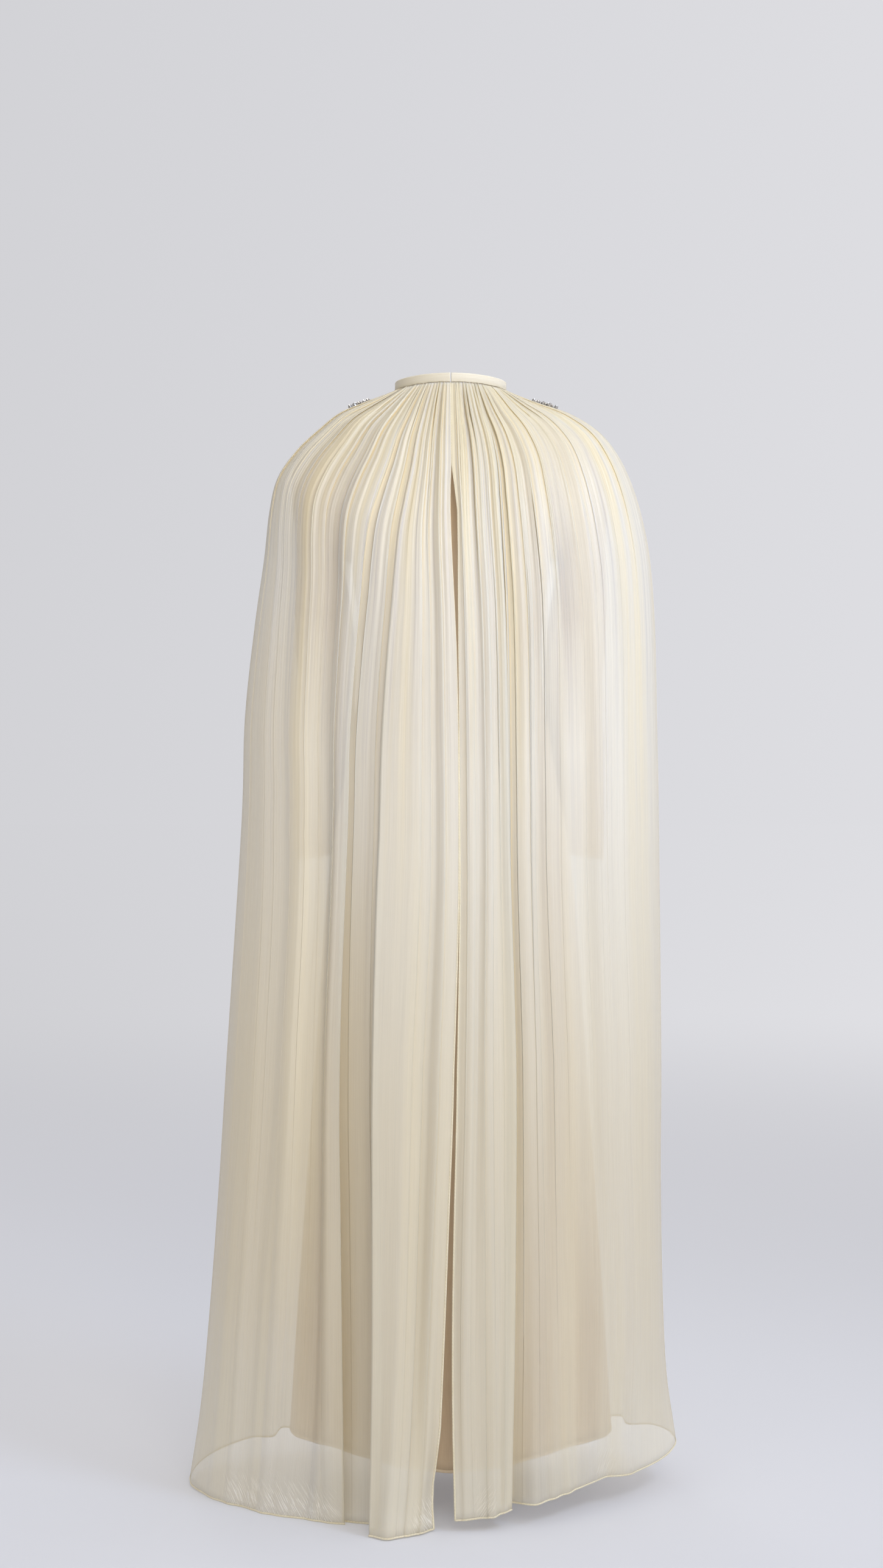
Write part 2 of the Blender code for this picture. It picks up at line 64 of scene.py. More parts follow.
# Half sizes of the rolled and turned edges, along the cloth's normal and in the cloth
HEM_RADII = (0.0009, 0.0013)
SEAM_RADII = (0.0008, 0.0012)
DRESS_HEM_RADII = (0.0011, 0.0022)
CUFF_RADII = (0.0010, 0.0020)
ARMHOLE_RADII = (0.0010, 0.0012)

# Rings of the cape, from the neckline down. Columns: height of the side, half width on the
# left and on the right, y of the side, y and height of the back, y and height of the front.
CAPE_RINGS = {
    "neckline": (0.000, 0.072, 0.072, 0.000, 0.062, 0.004, -0.078, -0.040),
    "nape": (-0.008, 0.090, 0.090, 0.000, 0.075, -0.016, -0.091, -0.054),
    "collarbone": (-0.0175, 0.114, 0.116, 0.000, 0.090, -0.042, -0.104, -0.076),
    "shoulder": (-0.031, 0.146, 0.157, 0.000, 0.105, -0.077, -0.118, -0.104),
    "shoulder_tip": (-0.052, 0.173, 0.193, 0.000, 0.118, -0.117, -0.131, -0.138),
    "yoke": (-0.080, 0.203, 0.217, 0.000, 0.129, -0.157, -0.142, -0.173),
    "upper_arm": (-0.115, 0.227, 0.235, 0.000, 0.137, -0.197, -0.150, -0.208),
    "armpit": (-0.160, 0.238, 0.250, -0.002, 0.143, -0.241, -0.155, -0.247),
    "blade": (-0.220, 0.245, 0.262, -0.004, 0.148, -0.292, -0.159, -0.294),
    "elbow": (-0.310, 0.258, 0.269, -0.008, 0.154, -0.366, -0.163, -0.364),
    "forearm": (-0.430, 0.271, 0.272, -0.013, 0.160, -0.466, -0.168, -0.464),
    "waist": (-0.570, 0.276, 0.275, -0.020, 0.166, -0.586, -0.175, -0.585),
    "thigh": (-0.870, 0.296, 0.279, -0.033, 0.175, -0.872, -0.194, -0.872),
    "knee": (-1.040, 0.307, 0.279, -0.041, 0.179, -1.040, -0.206, -1.040),
    "shin": (-1.210, 0.320, 0.282, -0.050, 0.182, -1.210, -0.221, -1.210),
    "ankle": (-1.345, 0.333, 0.288, -0.057, 0.183, -1.345, -0.237, -1.345),
    "hem": (-1.4445, 0.348, 0.301, -0.062, 0.183, -1.4445, -0.250, -1.4445),
}
RING_NAMES = list(CAPE_RINGS)
RING_TABLE = np.array(list(CAPE_RINGS.values()))
LAST_RING = len(RING_NAMES) - 1
# How high the hem hangs above its lowest point. Columns: share of the way round from the
# centre back (0) past the side (0.5) to the centre front (1), left height, right height.
HEM_LIFT = (
    (0.00, 0.002, 0.010), (0.15, 0.000, 0.016), (0.30, 0.000, 0.026), (0.50, 0.003, 0.054),
    (0.75, 0.030, 0.052), (1.00, 0.042, 0.042),
)

# Folds of each panel, from its free edge to the side seam. Columns: the gather that the fold
# grows from, its distance from the centre line at the yoke, waist, thigh, shin and hem, and
# how far it stands out there, all in millimetres. Where a line lies nearer the centre than
# the one before it, the cloth between them is tucked under a fold.
FOLD_LEVELS = ("yoke", "waist", "thigh", "shin", "hem")
BACK_LEFT_FOLDS = {
    "slit_edge": (0.0, -1, -10, -3, 9, 21, 0, 3, 8, 14, 6),
    "edge_ridge": (2.0, 15, 8, 15, 27, 38, 2, 9, 18, 30, 30),
    "edge_dip": (3.0, 26, 22, 32, 41, 52, -2, 2, 10, 24, 42),
    "flap_ridge": (4.5, 41, 52, 62, 66, 72, 3, 12, 22, 38, 58),
    "flap_edge": (6.0, 58, 90, 96, 93, 93, 2, 13, 23, 36, 46),
    "under_flap": (6.5, 60, 88, 92, 89, 90, -5, -7, -10, -12, -8),
    "recess": (8.0, 78, 112, 119, 117, 116, -2, -8, -16, -20, -13),
    "under_narrow": (9.0, 92, 137, 147, 145, 140, -3, -12, -20, -24, -14),
    "narrow_edge": (9.5, 94, 129, 138, 136, 134, 3, 8, 8, 4, -2),
    "narrow_back": (11.0, 110, 142, 153, 156, 158, 3, 10, 10, 5, -3),
    "shade_valley": (13.5, 135, 163, 173, 182, 190, -3, -20, -32, -32, -8),
    "hip_ridge": (17.0, 164, 194, 206, 225, 242, 3, 4, 1, -4, -5),
    "hip_dip": (19.5, 182, 217, 229, 252, 270, -2, -5, -8, -10, -12),
    "side_ridge": (23.0, 195, 243, 255, 280, 304, 2, 3, 2, 0, -8),
}
BACK_RIGHT_FOLDS = {
    "slit_edge": (0.0, 2, 11, 8, 2, 5, 0, 2, 6, 9, 12),
    "edge_ridge": (2.0, 15, 25, 23, 17, 20, 2, 11, 15, 17, 15),
    "edge_dip": (3.5, 27, 37, 34, 31, 34, -2, 2, 8, 13, 11),
    "mid_ridge": (4.5, 36, 48, 46, 48, 50, 3, 11, 13, 15, 16),
    "mid_dip": (6.0, 47, 59, 61, 62, 62, -2, 1, 7, 11, 10),
    "flap_edge": (7.5, 59, 73, 80, 78, 75, 3, 9, 11, 11, 6),
    "under_flap": (8.0, 62, 71, 77, 75, 74, -5, -8, -11, -14, -24),
    "bright_ridge": (10.0, 80, 94, 101, 105, 105, 3, 11, 6, 0, 2),
    "bright_dip": (11.5, 95, 110, 118, 125, 130, -3, -8, -7, -8, -8),
    "soft_ridge": (13.0, 108, 125, 135, 142, 151, 3, 5, 0, -6, -15),
    "grey_flat": (15.5, 126, 147, 157, 167, 178, -2, -5, -8, -14, -26),
    "deep_valley": (17.5, 143, 171, 180, 191, 202, -6, -17, -15, -18, -32),
    "arm_ridge": (19.0, 158, 188, 197, 209, 222, 3, 6, 1, -11, -35),
    "side_ridge": (23.0, 192, 228, 236, 244, 256, 1, 2, 1, -4, -24),
}
FRONT_FOLDS = {
    "front_edge": (0.0, 18, 34, 44, 56, 64, 2, 6, 8, 10, 10),
    "edge_dip": (1.5, 32, 50, 63, 76, 86, -2, -5, -8, -12, -14),
    "first_ridge": (3.0, 48, 68, 84, 98, 108, 3, 11, 14, 16, 16),
    "first_dip": (5.0, 68, 92, 107, 124, 136, -3, -10, -13, -16, -18),
    "second_ridge": (7.0, 90, 116, 132, 152, 166, 3, 9, 12, 15, 17),
    "second_dip": (9.5, 116, 144, 160, 182, 196, -4, -11, -13, -15, -16),
    "third_ridge": (12.0, 142, 172, 188, 210, 226, 3, 8, 9, 12, 14),
    "third_dip": (14.5, 166, 200, 214, 234, 250, -3, -6, -8, -9, -9),
    "side_ridge": (16.0, 190, 228, 238, 256, 272, 2, 4, 5, 6, 6),
}
# Share of the folds' height that shows in the cloth, by ring of the cape
FOLD_SHARES = {
    "neckline": (0.8,), "yoke": (0.7,), "elbow": (0.5,), "waist": (0.45,), "thigh": (0.6,),
    "shin": (0.75,), "hem": (1.0,),
}
# Where the back slit stands ajar, between the shoulder blades and at the hem. Columns: ring,
# then in millimetres how far the left edge and the right edge are drawn aside, and how far
# the left one stands out.
SLIT_AJAR = (
    (3.8, 0.0, 0.0, 0.0), (4.5, 1.4, 3.0, 1.0), (5.3, 2.4, 6.0, 2.2), (6.5, 2.2, 5.0, 2.6),
    (7.6, 1.6, 3.0, 2.2), (8.8, 0.4, 1.2, 1.2), (10.5, 0.0, 0.0, 0.0), (14.8, 0.0, 0.0, 0.0),
    (15.4, 5.0, 0.0, -2.0), (15.7, 4.0, 0.0, 2.0), (16.0, 0.0, 0.0, 4.0),
)
# How much higher the right back hem swings where it lifts off the floor. Columns: gather,
# rise in millimetres.
RIGHT_HEM_RISE = (
    (0.0, 3), (4.5, 5), (7.5, 10), (8.0, 12), (10.0, 12), (13.0, 14), (15.5, 15), (19.0, 16),
    (21.0, 13), (23.0, 9), (25.0, 4), (28.0, 0),
)

# Pressed-looking pleats between the big folds. Columns: the gather of the pleat's edge, in
# eighths, which way the edge faces (1 is away from the panel's free edge), its height in
# millimetres, and the share of it that is left at the hem, which also sets how strong the
# painted shade in its tucks is there. Some low pleats, at 9.000 on the left and 8.000 and
# 8.375 on the right, are there mostly for that painted golden shade beside a fold's edge.
BACK_LEFT_PLEATS = (
    (1.875, -1, 2.6, 1.0), (3.125, -1, 2.0, 0.8), (3.750, -1, 1.6, 0.2), (7.125, -1, 1.3, 0.1),
    (8.500, 1, 1.4, 0.2), (9.000, -1, 0.6, 1.0), (11.750, -1, 1.5, 0.2), (12.625, 1, 1.2, 0.1),
    (14.500, -1, 1.4, 0.2), (16.125, 1, 1.5, 0.1), (18.250, -1, 1.3, 0.2), (20.875, 1, 1.3, 0.2),
    (22.500, 1, 1.1, 0.1), (24.750, -1, 1.0, 0.2), (26.375, 1, 0.8, 0.1),
)
BACK_RIGHT_PLEATS = (
    (1.250, -1, 0.8, 0.1), (2.750, 1, 1.1, 0.2), (4.125, 1, 1.6, 0.8), (5.125, 1, 0.9, 0.2),
    (6.375, 1, 1.0, 0.1), (8.000, 1, 0.4, 3.0), (8.375, 1, 0.2, 3.0), (9.125, 1, 1.0, 0.2),
    (10.500, -1, 0.7, 0.2), (11.250, 1, 1.6, 0.2), (12.500, 1, 0.7, 0.1), (14.625, -1, 0.5, 0.1),
    (17.875, 1, 2.0, 0.3), (19.125, 1, 0.8, 0.2), (19.875, -1, 0.5, 0.1), (22.250, 1, 0.8, 0.2),
    (24.125, -1, 0.7, 0.1), (25.875, 1, 0.6, 0.1),
)
FRONT_PLEATS = (
    (1.250, -1, 1.4, 0.2), (2.500, 1, 1.5, 0.2), (4.125, 1, 1.3, 0.1), (5.625, -1, 1.5, 0.3),
    (7.750, 1, 1.6, 0.2), (9.000, 1, 1.1, 0.1), (10.625, -1, 1.4, 0.2), (12.750, 1, 1.2, 0.2),
    (14.000, -1, 1.0, 0.1), (15.375, 1, 0.8, 0.1),
)
# A pleat's tuck: its width in gathers, and how far its edge overhangs it
TUCK = 0.03
OVERHANG = 0.0026
# How much of the pleats is lost in the soft cloth at the sides
SIDE_CALM = 0.7
# At rings of the cape: how far the round gathers and the finest pleats stand out, in
# millimetres, and the share of a pleat's height
GATHER_HEIGHTS = {
    "neckline": (0.8, 0.2, 0.4), "nape": (1.5, 0.4, 1.0), "collarbone": (1.7, 0.5, 1.3),
    "yoke": (1.1, 0.45, 1.2), "elbow": (0.3, 0.25, 0.9), "waist": (0.15, 0.15, 0.7),
    "thigh": (0.1, 0.1, 0.5), "hem": (0.05, 0.05, 0.0),
}
SHOULDER_CALM = 0.75
FINE_PLEATS_A_GATHER = 2.63
BROAD_WAVE = 0.0010
NECK_OPENING = 0.035

# What share of a panel's sheerness shows down the cape, less than none where the cloth lies
# double over the cuffs. Columns: ring, share.
SHEER_LEVELS = ((2.5, 0.0), (5.5, 1.0), (8.5, 1.0), (10.2, -1.0), (12.0, -0.8), (14.0, 1.0), (16.0, 1.0))
FRONT_SHEERNESS = 0.3
# One cape panel. width and area are the cut's width at the hem and its area, which narrows
# towards the neck before it is gathered. rows is its rows of points, and start moves its
# weave along. doubled is the gather up to which the cloth lies double. sheer and glints are
# the stretches where it lies single and most sheer, and where a painted highlight stands
# for the weave catching the light above the hem: from gather to gather, and how much.
# warmth is how much painted shade, golden and darker, lies on the side turned away from the
# key lamp, between the armpit and the shins.
Panel = namedtuple(
    "Panel", "side front folds pleats gathers rows width area start doubled sheer glints warmth",
    defaults=(0.0, (), (), 0.0),
)
BACK = {"front": False, "gathers": 28, "rows": 174, "width": 0.66, "area": 0.78}
FRONT = {
    "front": True, "gathers": 18, "rows": 150, "width": 0.60, "area": 0.70,
    "folds": FRONT_FOLDS, "pleats": FRONT_PLEATS,
}
CAPE_PANELS = {
    "cape_back_left": Panel(
        side=1, folds=BACK_LEFT_FOLDS, pleats=BACK_LEFT_PLEATS, start=0, doubled=7.6,
        sheer=((11.5, 18.5, 0.8), (20.0, 22.5, 0.4)), glints=((-2.0, 3.2, 0.7), (9.5, 23.5, 0.8)),
        # warmth: painted shade, golden and darker, on the side turned away from the key lamp
        warmth=0.34, **BACK,
    ),
    "cape_back_right": Panel(
        side=-1, folds=BACK_RIGHT_FOLDS, pleats=BACK_RIGHT_PLEATS, start=3, doubled=8.4,
        sheer=((8.6, 12.4, 0.6), (14.5, 18.6, 0.8), (20.5, 23.0, 0.5)),
        glints=((2.5, 5.5, 0.5), (17.0, 21.0, 0.2)), **BACK,
    ),
    "cape_front_left": Panel(side=1, start=7, **FRONT),
    "cape_front_right": Panel(side=-1, start=11, **FRONT),
}

# Rings of the dress below the arms. Columns: height, half width, back y, front y.
DRESS_RINGS = {
    "chest": (-0.225, 0.130, 0.102, -0.116),
    "waist": (-0.375, 0.119, 0.096, -0.104),
    "hip": (-0.620, 0.158, 0.116, -0.117),
    "thigh": (-0.850, 0.176, 0.128, -0.130),
    "knee": (-1.110, 0.194, 0.138, -0.142),
    "hem": (-1.385, 0.211, 0.148, -0.152),
}
# How far the foot of the dress rises at the centre and how much more at the sides
DRESS_HEM_RISE = (0.004, 0.022)
# How far inside and below the cape's neckline the dress begins
DRESS_INSET = 0.0028
DRESS_DROP = 0.0022
# The share of the dress's top edge that is neckline, and the rest shoulder seam
NECK_SHARE = 9 / 14
SHOULDER_TIP = (0.157, 0.0, -0.048)
UNDERARM = (0.130, 0.0, -0.225)
# How far the armhole's edge is hollowed inwards, and bowed to the back or front
BACK_ARMHOLE = (0.012, 0.048)
FRONT_ARMHOLE = (0.018, -0.052)
# Where the sleeve's head begins outside the armhole: the solid dress's wall and a seam
SLEEVE_SET = 0.0012 + SEAM_GAP
# Rings of a sleeve below the armhole. Columns: centre x, y and z, tilt of the ring in
# degrees, half length along the tilt, half depth front to back.
SLEEVE_RINGS = {
    "head": (0.1730, 0.000, -0.163, 62, 0.070, 0.048),
    "bicep": (0.1690, -0.004, -0.228, 42, 0.046, 0.045),
    "upper_arm": (0.1670, -0.012, -0.300, 0, 0.038, 0.042),
    "elbow": (0.1640, -0.030, -0.385, 0, 0.038, 0.040),
    "forearm": (0.1670, -0.050, -0.470, -3, 0.037, 0.039),
    "wrist": (0.1710, -0.068, -0.545, -8, 0.035, 0.037),
    "cuff": (0.1730, -0.083, -0.610, -8, 0.033, 0.035),
}

# The shoulder ornament's place on the front panel, its grid of rows and columns, how high
# its net stands off the crests of the gathers, and the net's thickness
ORNAMENT_RINGS = (1.55, 2.70)
ORNAMENT_GATHERS = (15, 17.9)
ORNAMENT_GRID = (33, 41)
NET_HEIGHT = 0.0020
NET_THICKNESS = 0.0011


# Shapes as whole arrays


def smooth_rows(table, at):
    """Rows of a table at fractional row numbers, on the cubic curve through its rows."""
    table = np.asarray(table, float)
    slopes = np.gradient(table, axis=0)
    at = np.clip(np.asarray(at, float), 0, len(table) - 1)
    low = np.minimum(at.astype(int), len(table) - 2)
    f = (at - low).reshape(at.shape + (1,) * (table.ndim - 1))
    p, q, m, n = table[low], table[low + 1], slopes[low], slopes[low + 1]
    return (
        (1 + 2 * f) * (1 - f) ** 2 * p
        + f * (1 - f) ** 2 * m
        + f * f * (3 - 2 * f) * q
        + f * f * (f - 1) * n
    )


def smooth_step(share):
    share = np.clip(share, 0, 1)
    return share * share * (3 - 2 * share)


def unit(vectors):
    return vectors / np.linalg.norm(vectors, axis=-1, keepdims=True)


def turns(count):
    """Angles of a count of points spaced evenly round a circle."""
    return 2 * math.pi * np.arange(count) / count


def from_table(table, at):
    """Values of a table's other columns, where its first column is at."""
    known, *columns = np.array(table, float).T
    return [np.interp(at, known, column) for column in columns]


def at_rings(table, ring):
    """Values of a table by ring name, at fractional ring numbers."""
    return from_table([(RING_NAMES.index(name), *row) for name, row in table.items()], ring)


def wander(at, seed, count=5, low=0.6, high=3.0):
    """A gentle irregular wave between about -1 and 1: a sum of sines of mixed lengths."""
    draws = np.random.default_rng(seed)
    rates = draws.uniform(low, high, count)
    phases = draws.uniform(0, 2 * math.pi, count)
    waves = np.sin(np.asarray(at, float)[..., None] * rates + phases)
    return waves.sum(-1) / math.sqrt(count)


def cape_form(side, ring, share):
    """Points of the cape's smooth form. Each ring is a half ellipse behind and another in
    front, x = width sin(turn) and y = side + reach cos(turn), whose height falls from the
    side towards the back and front with the square of cos(turn). ring is a fractional ring
    number and share the way round from the centre back."""
    ring, share = np.broadcast_arrays(np.asarray(ring, float), np.asarray(share, float))
    columns = np.moveaxis(smooth_rows(RING_TABLE, ring), -1, 0)
    side_z, left, right, side_y, back_y, back_z, front_y, front_z = columns
    turn = math.pi * share
    behind = np.cos(turn) > 0
    reach_y = np.where(behind, back_y - side_y, side_y - front_y)
    reach_z = np.where(behind, back_z - side_z, front_z - side_z)
    x = side * np.where(side > 0, left, right) * np.sin(turn)
    y = side_y + reach_y * np.cos(turn)
    z = side_z + reach_z * np.cos(turn) ** 2
    lift = from_table(HEM_LIFT, share)[0 if side > 0 else 1]
    first = RING_NAMES.index("waist")
    fall = smooth_step((ring - first) / (LAST_RING - first)) ** 1.5
    return np.stack([x, y, z + lift * fall], axis=-1)


def cape_normals(side, ring, share):
    """Outward unit normals of the smooth form, from its slopes."""
    step = 1e-4
    ring = np.clip(ring, 2 * step, LAST_RING - 2 * step)
    along = cape_form(side, ring, share + step) - cape_form(side, ring, share - step)
    down = cape_form(side, ring + step, share) - cape_form(side, ring - step, share)
    return unit(side * np.cross(along, down))


def half_widths(side, ring):
    """The cape's half width on one side, at fractional ring numbers."""
    return smooth_rows(RING_TABLE, ring)[:, 1 if side > 0 else 2]


def seam_side(front):
    """Half a seam's gap, towards the back for a back piece and the front for a front one."""
    return 0.5 * SEAM_GAP * (-1 if front else 1)


def fold_lines(panel, ring):
    """For each row, the share of the way round and the height of each fold line, with the
    side seam as the last line. At the neckline the gathers are even."""
    numbers = np.array([row[0] for row in panel.folds.values()])
    across = np.array([row[1:6] for row in panel.folds.values()]).T / 1000
    heights = np.array([row[6:11] for row in panel.folds.values()]).T / 1000
    even = 0.5 * numbers / panel.gathers
    even[0] = math.asin(SEAM_GAP / RING_TABLE[0][1]) / math.pi
    if panel.front:
        even = even + NECK_OPENING * (1 - numbers / panel.gathers)
    levels = [0] + [RING_NAMES.index(name) for name in FOLD_LEVELS]
    at = np.interp(ring, levels, np.arange(len(levels)))
    width = half_widths(panel.side, levels[1:])
    share = np.arcsin(np.clip(across / width[:, None], -1, 0.985)) / math.pi
    share = smooth_rows(np.vstack([even, share]), at)
    heights = smooth_rows(np.vstack([0 * even, heights]), at)
    share = np.column_stack([share, np.full(len(ring), 0.5)])
    heights = np.column_stack([heights, np.zeros(len(ring))])
    return np.append(numbers, panel.gathers), (1 - share if panel.front else share), heights


def panel_rows(front, count):
    """Fractional ring numbers of count rows, closest together at the neckline."""
    heights = RING_TABLE[:, 7 if front else 5]
    run = np.concatenate([[0], np.cumsum(np.abs(np.diff(heights)))])
    at = np.linspace(0, 1, count)
    return np.interp(at * (0.55 + 0.45 * at) * run[-1], run, np.arange(len(run)))


def panel_columns(panel, per_gather=8):
    """Gather numbers of a panel's columns: evenly spaced, with more in the pleats' tucks."""
    even = np.linspace(0, panel.gathers, panel.gathers * per_gather + 1)
    edges = np.array([row[:2] for row in panel.pleats])
    tucks = edges[:, :1] + edges[:, 1:] * TUCK * np.array([-1.0, 1.0, 2.0])
    return np.unique(np.concatenate([even, tucks.ravel()]))


def pleat_shapes(pleats, ring, column):
    """Height, backward shift and depth in the pleats' tucks of every point, from the pleats. A pleat
    rises slowly to its edge, drops over the width TUCK while it runs back under itself, and
    climbs again from there. The depth in the tucks makes the cloth denser and also carries a
    painted golden shade. Outside gather 10.5 they calm down below the shoulders."""
    share = at_rings(GATHER_HEIGHTS, ring)[2][:, None]
    down = (ring / LAST_RING)[:, None]
    height, shift, tuck_and_shade = 0, 0, 0
    for edge, facing, rise, left_over in pleats:
        ahead = facing * (column - edge)
        kept = share * (1 - down) + np.maximum(share, left_over) * down
        before = smooth_step(1 + ahead)
        after = -0.30 * smooth_step(1 - (ahead - TUCK) / 0.9)
        drop = np.interp(ahead, [0, TUCK], [0, 1])
        height = height + rise * kept * (before * (1 - drop) + after * drop)
        back = np.interp(ahead, [0, TUCK, 2 * TUCK, 8 * TUCK], [0, 1, 0.25, 0])
        shift = shift - facing * back * kept
        # Painted shade: a point's depth in the tucks, which the finish turns golden and darker, fading
        # down the cape.
        shade = np.interp(ahead, [0, TUCK, 3 * TUCK, 0.35], [0, 1, 0.7, 0])
        tuck_and_shade = tuck_and_shade + kept * shade * (1 - 0.75 * down)
    outer = smooth_step((column - 10.5) / 4) * smooth_step((ring[:, None] - 5) / 4)
    calm = 1 - SIDE_CALM * outer
    return height / 1000 * calm, shift * calm, tuck_and_shade * calm


def stretches(table, column, ease):
    """A plateau over each stretch from gather to gather, eased at its ends, added up."""
    total = 0 * column
    for start, end, most in table:
        total = total + most * smooth_step((column - start) / ease) * smooth_step((end - column) / ease)
    return total


def cloth_traits(panel, ring, column, tuck_and_shade):
    """What the cape's finish reads at each point: its depth in the pleats' tucks, which makes the
    cloth denser and carries a painted golden shade, with painted shade on the side turned
    away from the key lamp added, how sheer it is, from -1 in the doubled cloth by the free edge
    to 1, and how strong a painted highlight of glinting weave is, close above the hem."""
    low = smooth_step((ring - 9) / 3)[:, None]
    doubled = smooth_step((panel.doubled - column) / 0.8)
    sheer = stretches(panel.sheer, column, 1.2) * from_table(SHEER_LEVELS, ring)[0][:, None]
    if panel.front:
        sheer, doubled = FRONT_SHEERNESS + 0 * sheer, 0
    # Painted highlight: near-white streaks that stand for the weave glinting, close above the hem.
    glint = smooth_step((ring - 15.45) / 0.40)[:, None] * stretches(panel.glints, column, 2)
    # Painted shade: between the armpit and the shins, the panel's outer side turned away from the key
    # lamp is made golden and darker.
    between = smooth_step((ring - 7) / 3) * (1 - 0.8 * smooth_step((ring - 13.5) / 1.5))
    warmth = panel.warmth * between[:, None] * smooth_step((column - 12) / 4)
    return {"tuck_and_shade": tuck_and_shade + warmth, "sheer": sheer - doubled * low, "glint": glint}


def panel_points(panel, ring, column, crests=False):
    """Points of one cape panel, at ring numbers by gather numbers, and each point's depth in
    the pleats' tucks, which also carries their painted shade: the smooth form, moved out along
    its normals by the fold heights, by the pleats, by a round-topped gather wave
    2 |cos(pi column)| - 1, and by finer pleats of a wandering spacing. crests leaves the waves
    out for a surface that lies on the gathers."""
    side, front, gathers = panel.side, panel.front, panel.gathers
    numbers, share_lines, height_lines = fold_lines(panel, ring)
    half_width = half_widths(side, ring)
    height_lines *= at_rings(FOLD_SHARES, ring)[0][:, None]
    if not front:
        left, right, out = from_table(SLIT_AJAR, ring)
        share_lines[:, 0] += (left if side > 0 else right) / 1000 / (math.pi * half_width)
        height_lines[:, 0] += (out if side > 0 else 0 * out) / 1000
    low = np.clip(np.searchsorted(numbers, column, side="right") - 1, 0, len(numbers) - 2)
    f = (column - numbers[low]) / (numbers[low + 1] - numbers[low])
    share = share_lines[:, low] * (1 - f) + share_lines[:, low + 1] * f
    eased = smooth_step(f)
    height = height_lines[:, low] * (1 - eased) + height_lines[:, low + 1] * eased
    gather, pleat = [value[:, None] / 1000 for value in at_rings(GATHER_HEIGHTS, ring)[:2]]
    fade = smooth_step(np.minimum(column, gathers - column) / 1.5)
    tuck_and_shade = 0 * height
    if crests:
        height = height + 2.5 * gather * fade
    else:
        seed = 10 * (2 + side) + (5 if front else 0)
        uneven = 0.75 + 0.25 * np.sin(2.3 * np.round(column) + 1.1 * side + (4 if front else 0))
        uneven = uneven * (1 - SHOULDER_CALM * column / gathers)
        drift = 0.10 * wander(ring * 0.5, seed)[:, None] * fade
        lean = 0.09 * wander(column, seed + 1) * np.sin(2 * math.pi * column)
        wave = 2 * np.abs(np.cos(math.pi * (column + lean + drift))) ** 1.15 - 1
        spaced = FINE_PLEATS_A_GATHER * column + 0.5 * wander(column, seed + 2)
        fine = 2 * np.abs(np.cos(math.pi * spaced)) - 1
        broad = wander(column * 1.4, seed + 3)[None] * wander(ring * 0.35, seed + 4)[:, None]
        broad = BROAD_WAVE * smooth_step((ring[:, None] - 6) / 8) * broad
        raised, shift, tuck_and_shade = pleat_shapes(panel.pleats, ring, column)
        height = height + raised + (gather * wave * uneven + pleat * fine + broad) * fade
        across = shift * OVERHANG * (-1 if front else 1)
        share = share + across / (math.pi * half_width[:, None])
    ring = np.broadcast_to(ring[:, None], share.shape)
    points = cape_form(side, ring, share) + cape_normals(side, ring, share) * height[..., None]
    if side < 0 and not front:
        rise = from_table(RIGHT_HEM_RISE, column)[0] / 1000
        points[..., 2] += smooth_step((ring - 13.8) / 2.2) * rise
    if column[-1] == gathers:
        points[:, -1, 1] = smooth_rows(RING_TABLE, ring[:, 0])[:, 3] + seam_side(front)
    return points, tuck_and_shade


def slopes(points, axis, closed):
    """Slopes of points along one axis, which is wrapped round where it is closed."""
    if closed:
        return np.roll(points, -1, axis) - np.roll(points, 1, axis)
    return np.gradient(points, axis=axis)


def grid_normals(points, closed=False):
    """Unit normals of a grid of points: the cross product of its slopes along columns and
    rows, with the columns wrapped where the grid is closed."""
    return unit(np.cross(slopes(points, 1, closed), slopes(points, 0, False)))


def grid_quads(rows, columns, closed=False, looped=False):
    """Quads between neighbouring rows and columns. closed joins the last column to the first,
    and looped the last row to the first."""
    i, j = np.meshgrid(
        np.arange(rows - (not looped)), np.arange(columns - (not closed)), indexing="ij"
    )
    below, beside = (i + 1) % rows, (j + 1) % columns
    corners = [
        i * columns + j, i * columns + beside, below * columns + beside, below * columns + j
    ]
    return np.stack(corners, -1).reshape(-1, 4)


def tube_faces(rings, sides):
    """Faces of a tube of rings: the quads round it and its two ends."""
    ring = np.arange(sides)
    return [grid_quads(rings, sides, closed=True), ring[None, ::-1], ring[None] + (rings - 1) * sides]


def run_along(path):
    """Distance run along a path of points."""
    steps = np.linalg.norm(np.diff(path, axis=0), axis=-1)
    return np.concatenate([[0], np.cumsum(steps)])


def cloth_map(across, along):
    """A uv pair for each point of a grid: metres across and along the cloth."""
    return np.stack(np.broadcast_arrays(across[None], along[:, None]), -1)


def new_object(name, data):
    """An object in the scene, with its data."""
    made = bpy.data.objects.new(name, data)
    bpy.context.scene.collection.objects.link(made)
    return made


def add_mesh(name, points, face_groups, finish, uv=None, smooth=True, traits=None):
    """A named piece that rides on the garment, from points, groups of faces and, for each
    point, one uv pair and its traits, numbers that the finish reads by name."""
    mesh = bpy.data.meshes.new(name)
    faces = [face for group in face_groups for face in group.tolist()]
    mesh.from_pydata(points.reshape(-1, 3).tolist(), [], faces)
    if uv is not None:
        corners = np.empty(len(mesh.loops), np.int32)
        mesh.loops.foreach_get("vertex_index", corners)
        layer = mesh.uv_layers.new(name="cloth")
        pairs = np.asarray(uv, np.float32).reshape(-1, 2)[corners]
        layer.data.foreach_set("uv", pairs.ravel())
    for trait, values in (traits or {}).items():
        layer = mesh.attributes.new(trait, "FLOAT", "POINT")
        layer.data.foreach_set("value", values.astype(np.float32).ravel())
    mesh.polygons.foreach_set("use_smooth", np.full(len(mesh.polygons), smooth))
    mesh.materials.append(finish)
    piece = new_object(name, mesh)
    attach(piece, "root")
    return piece


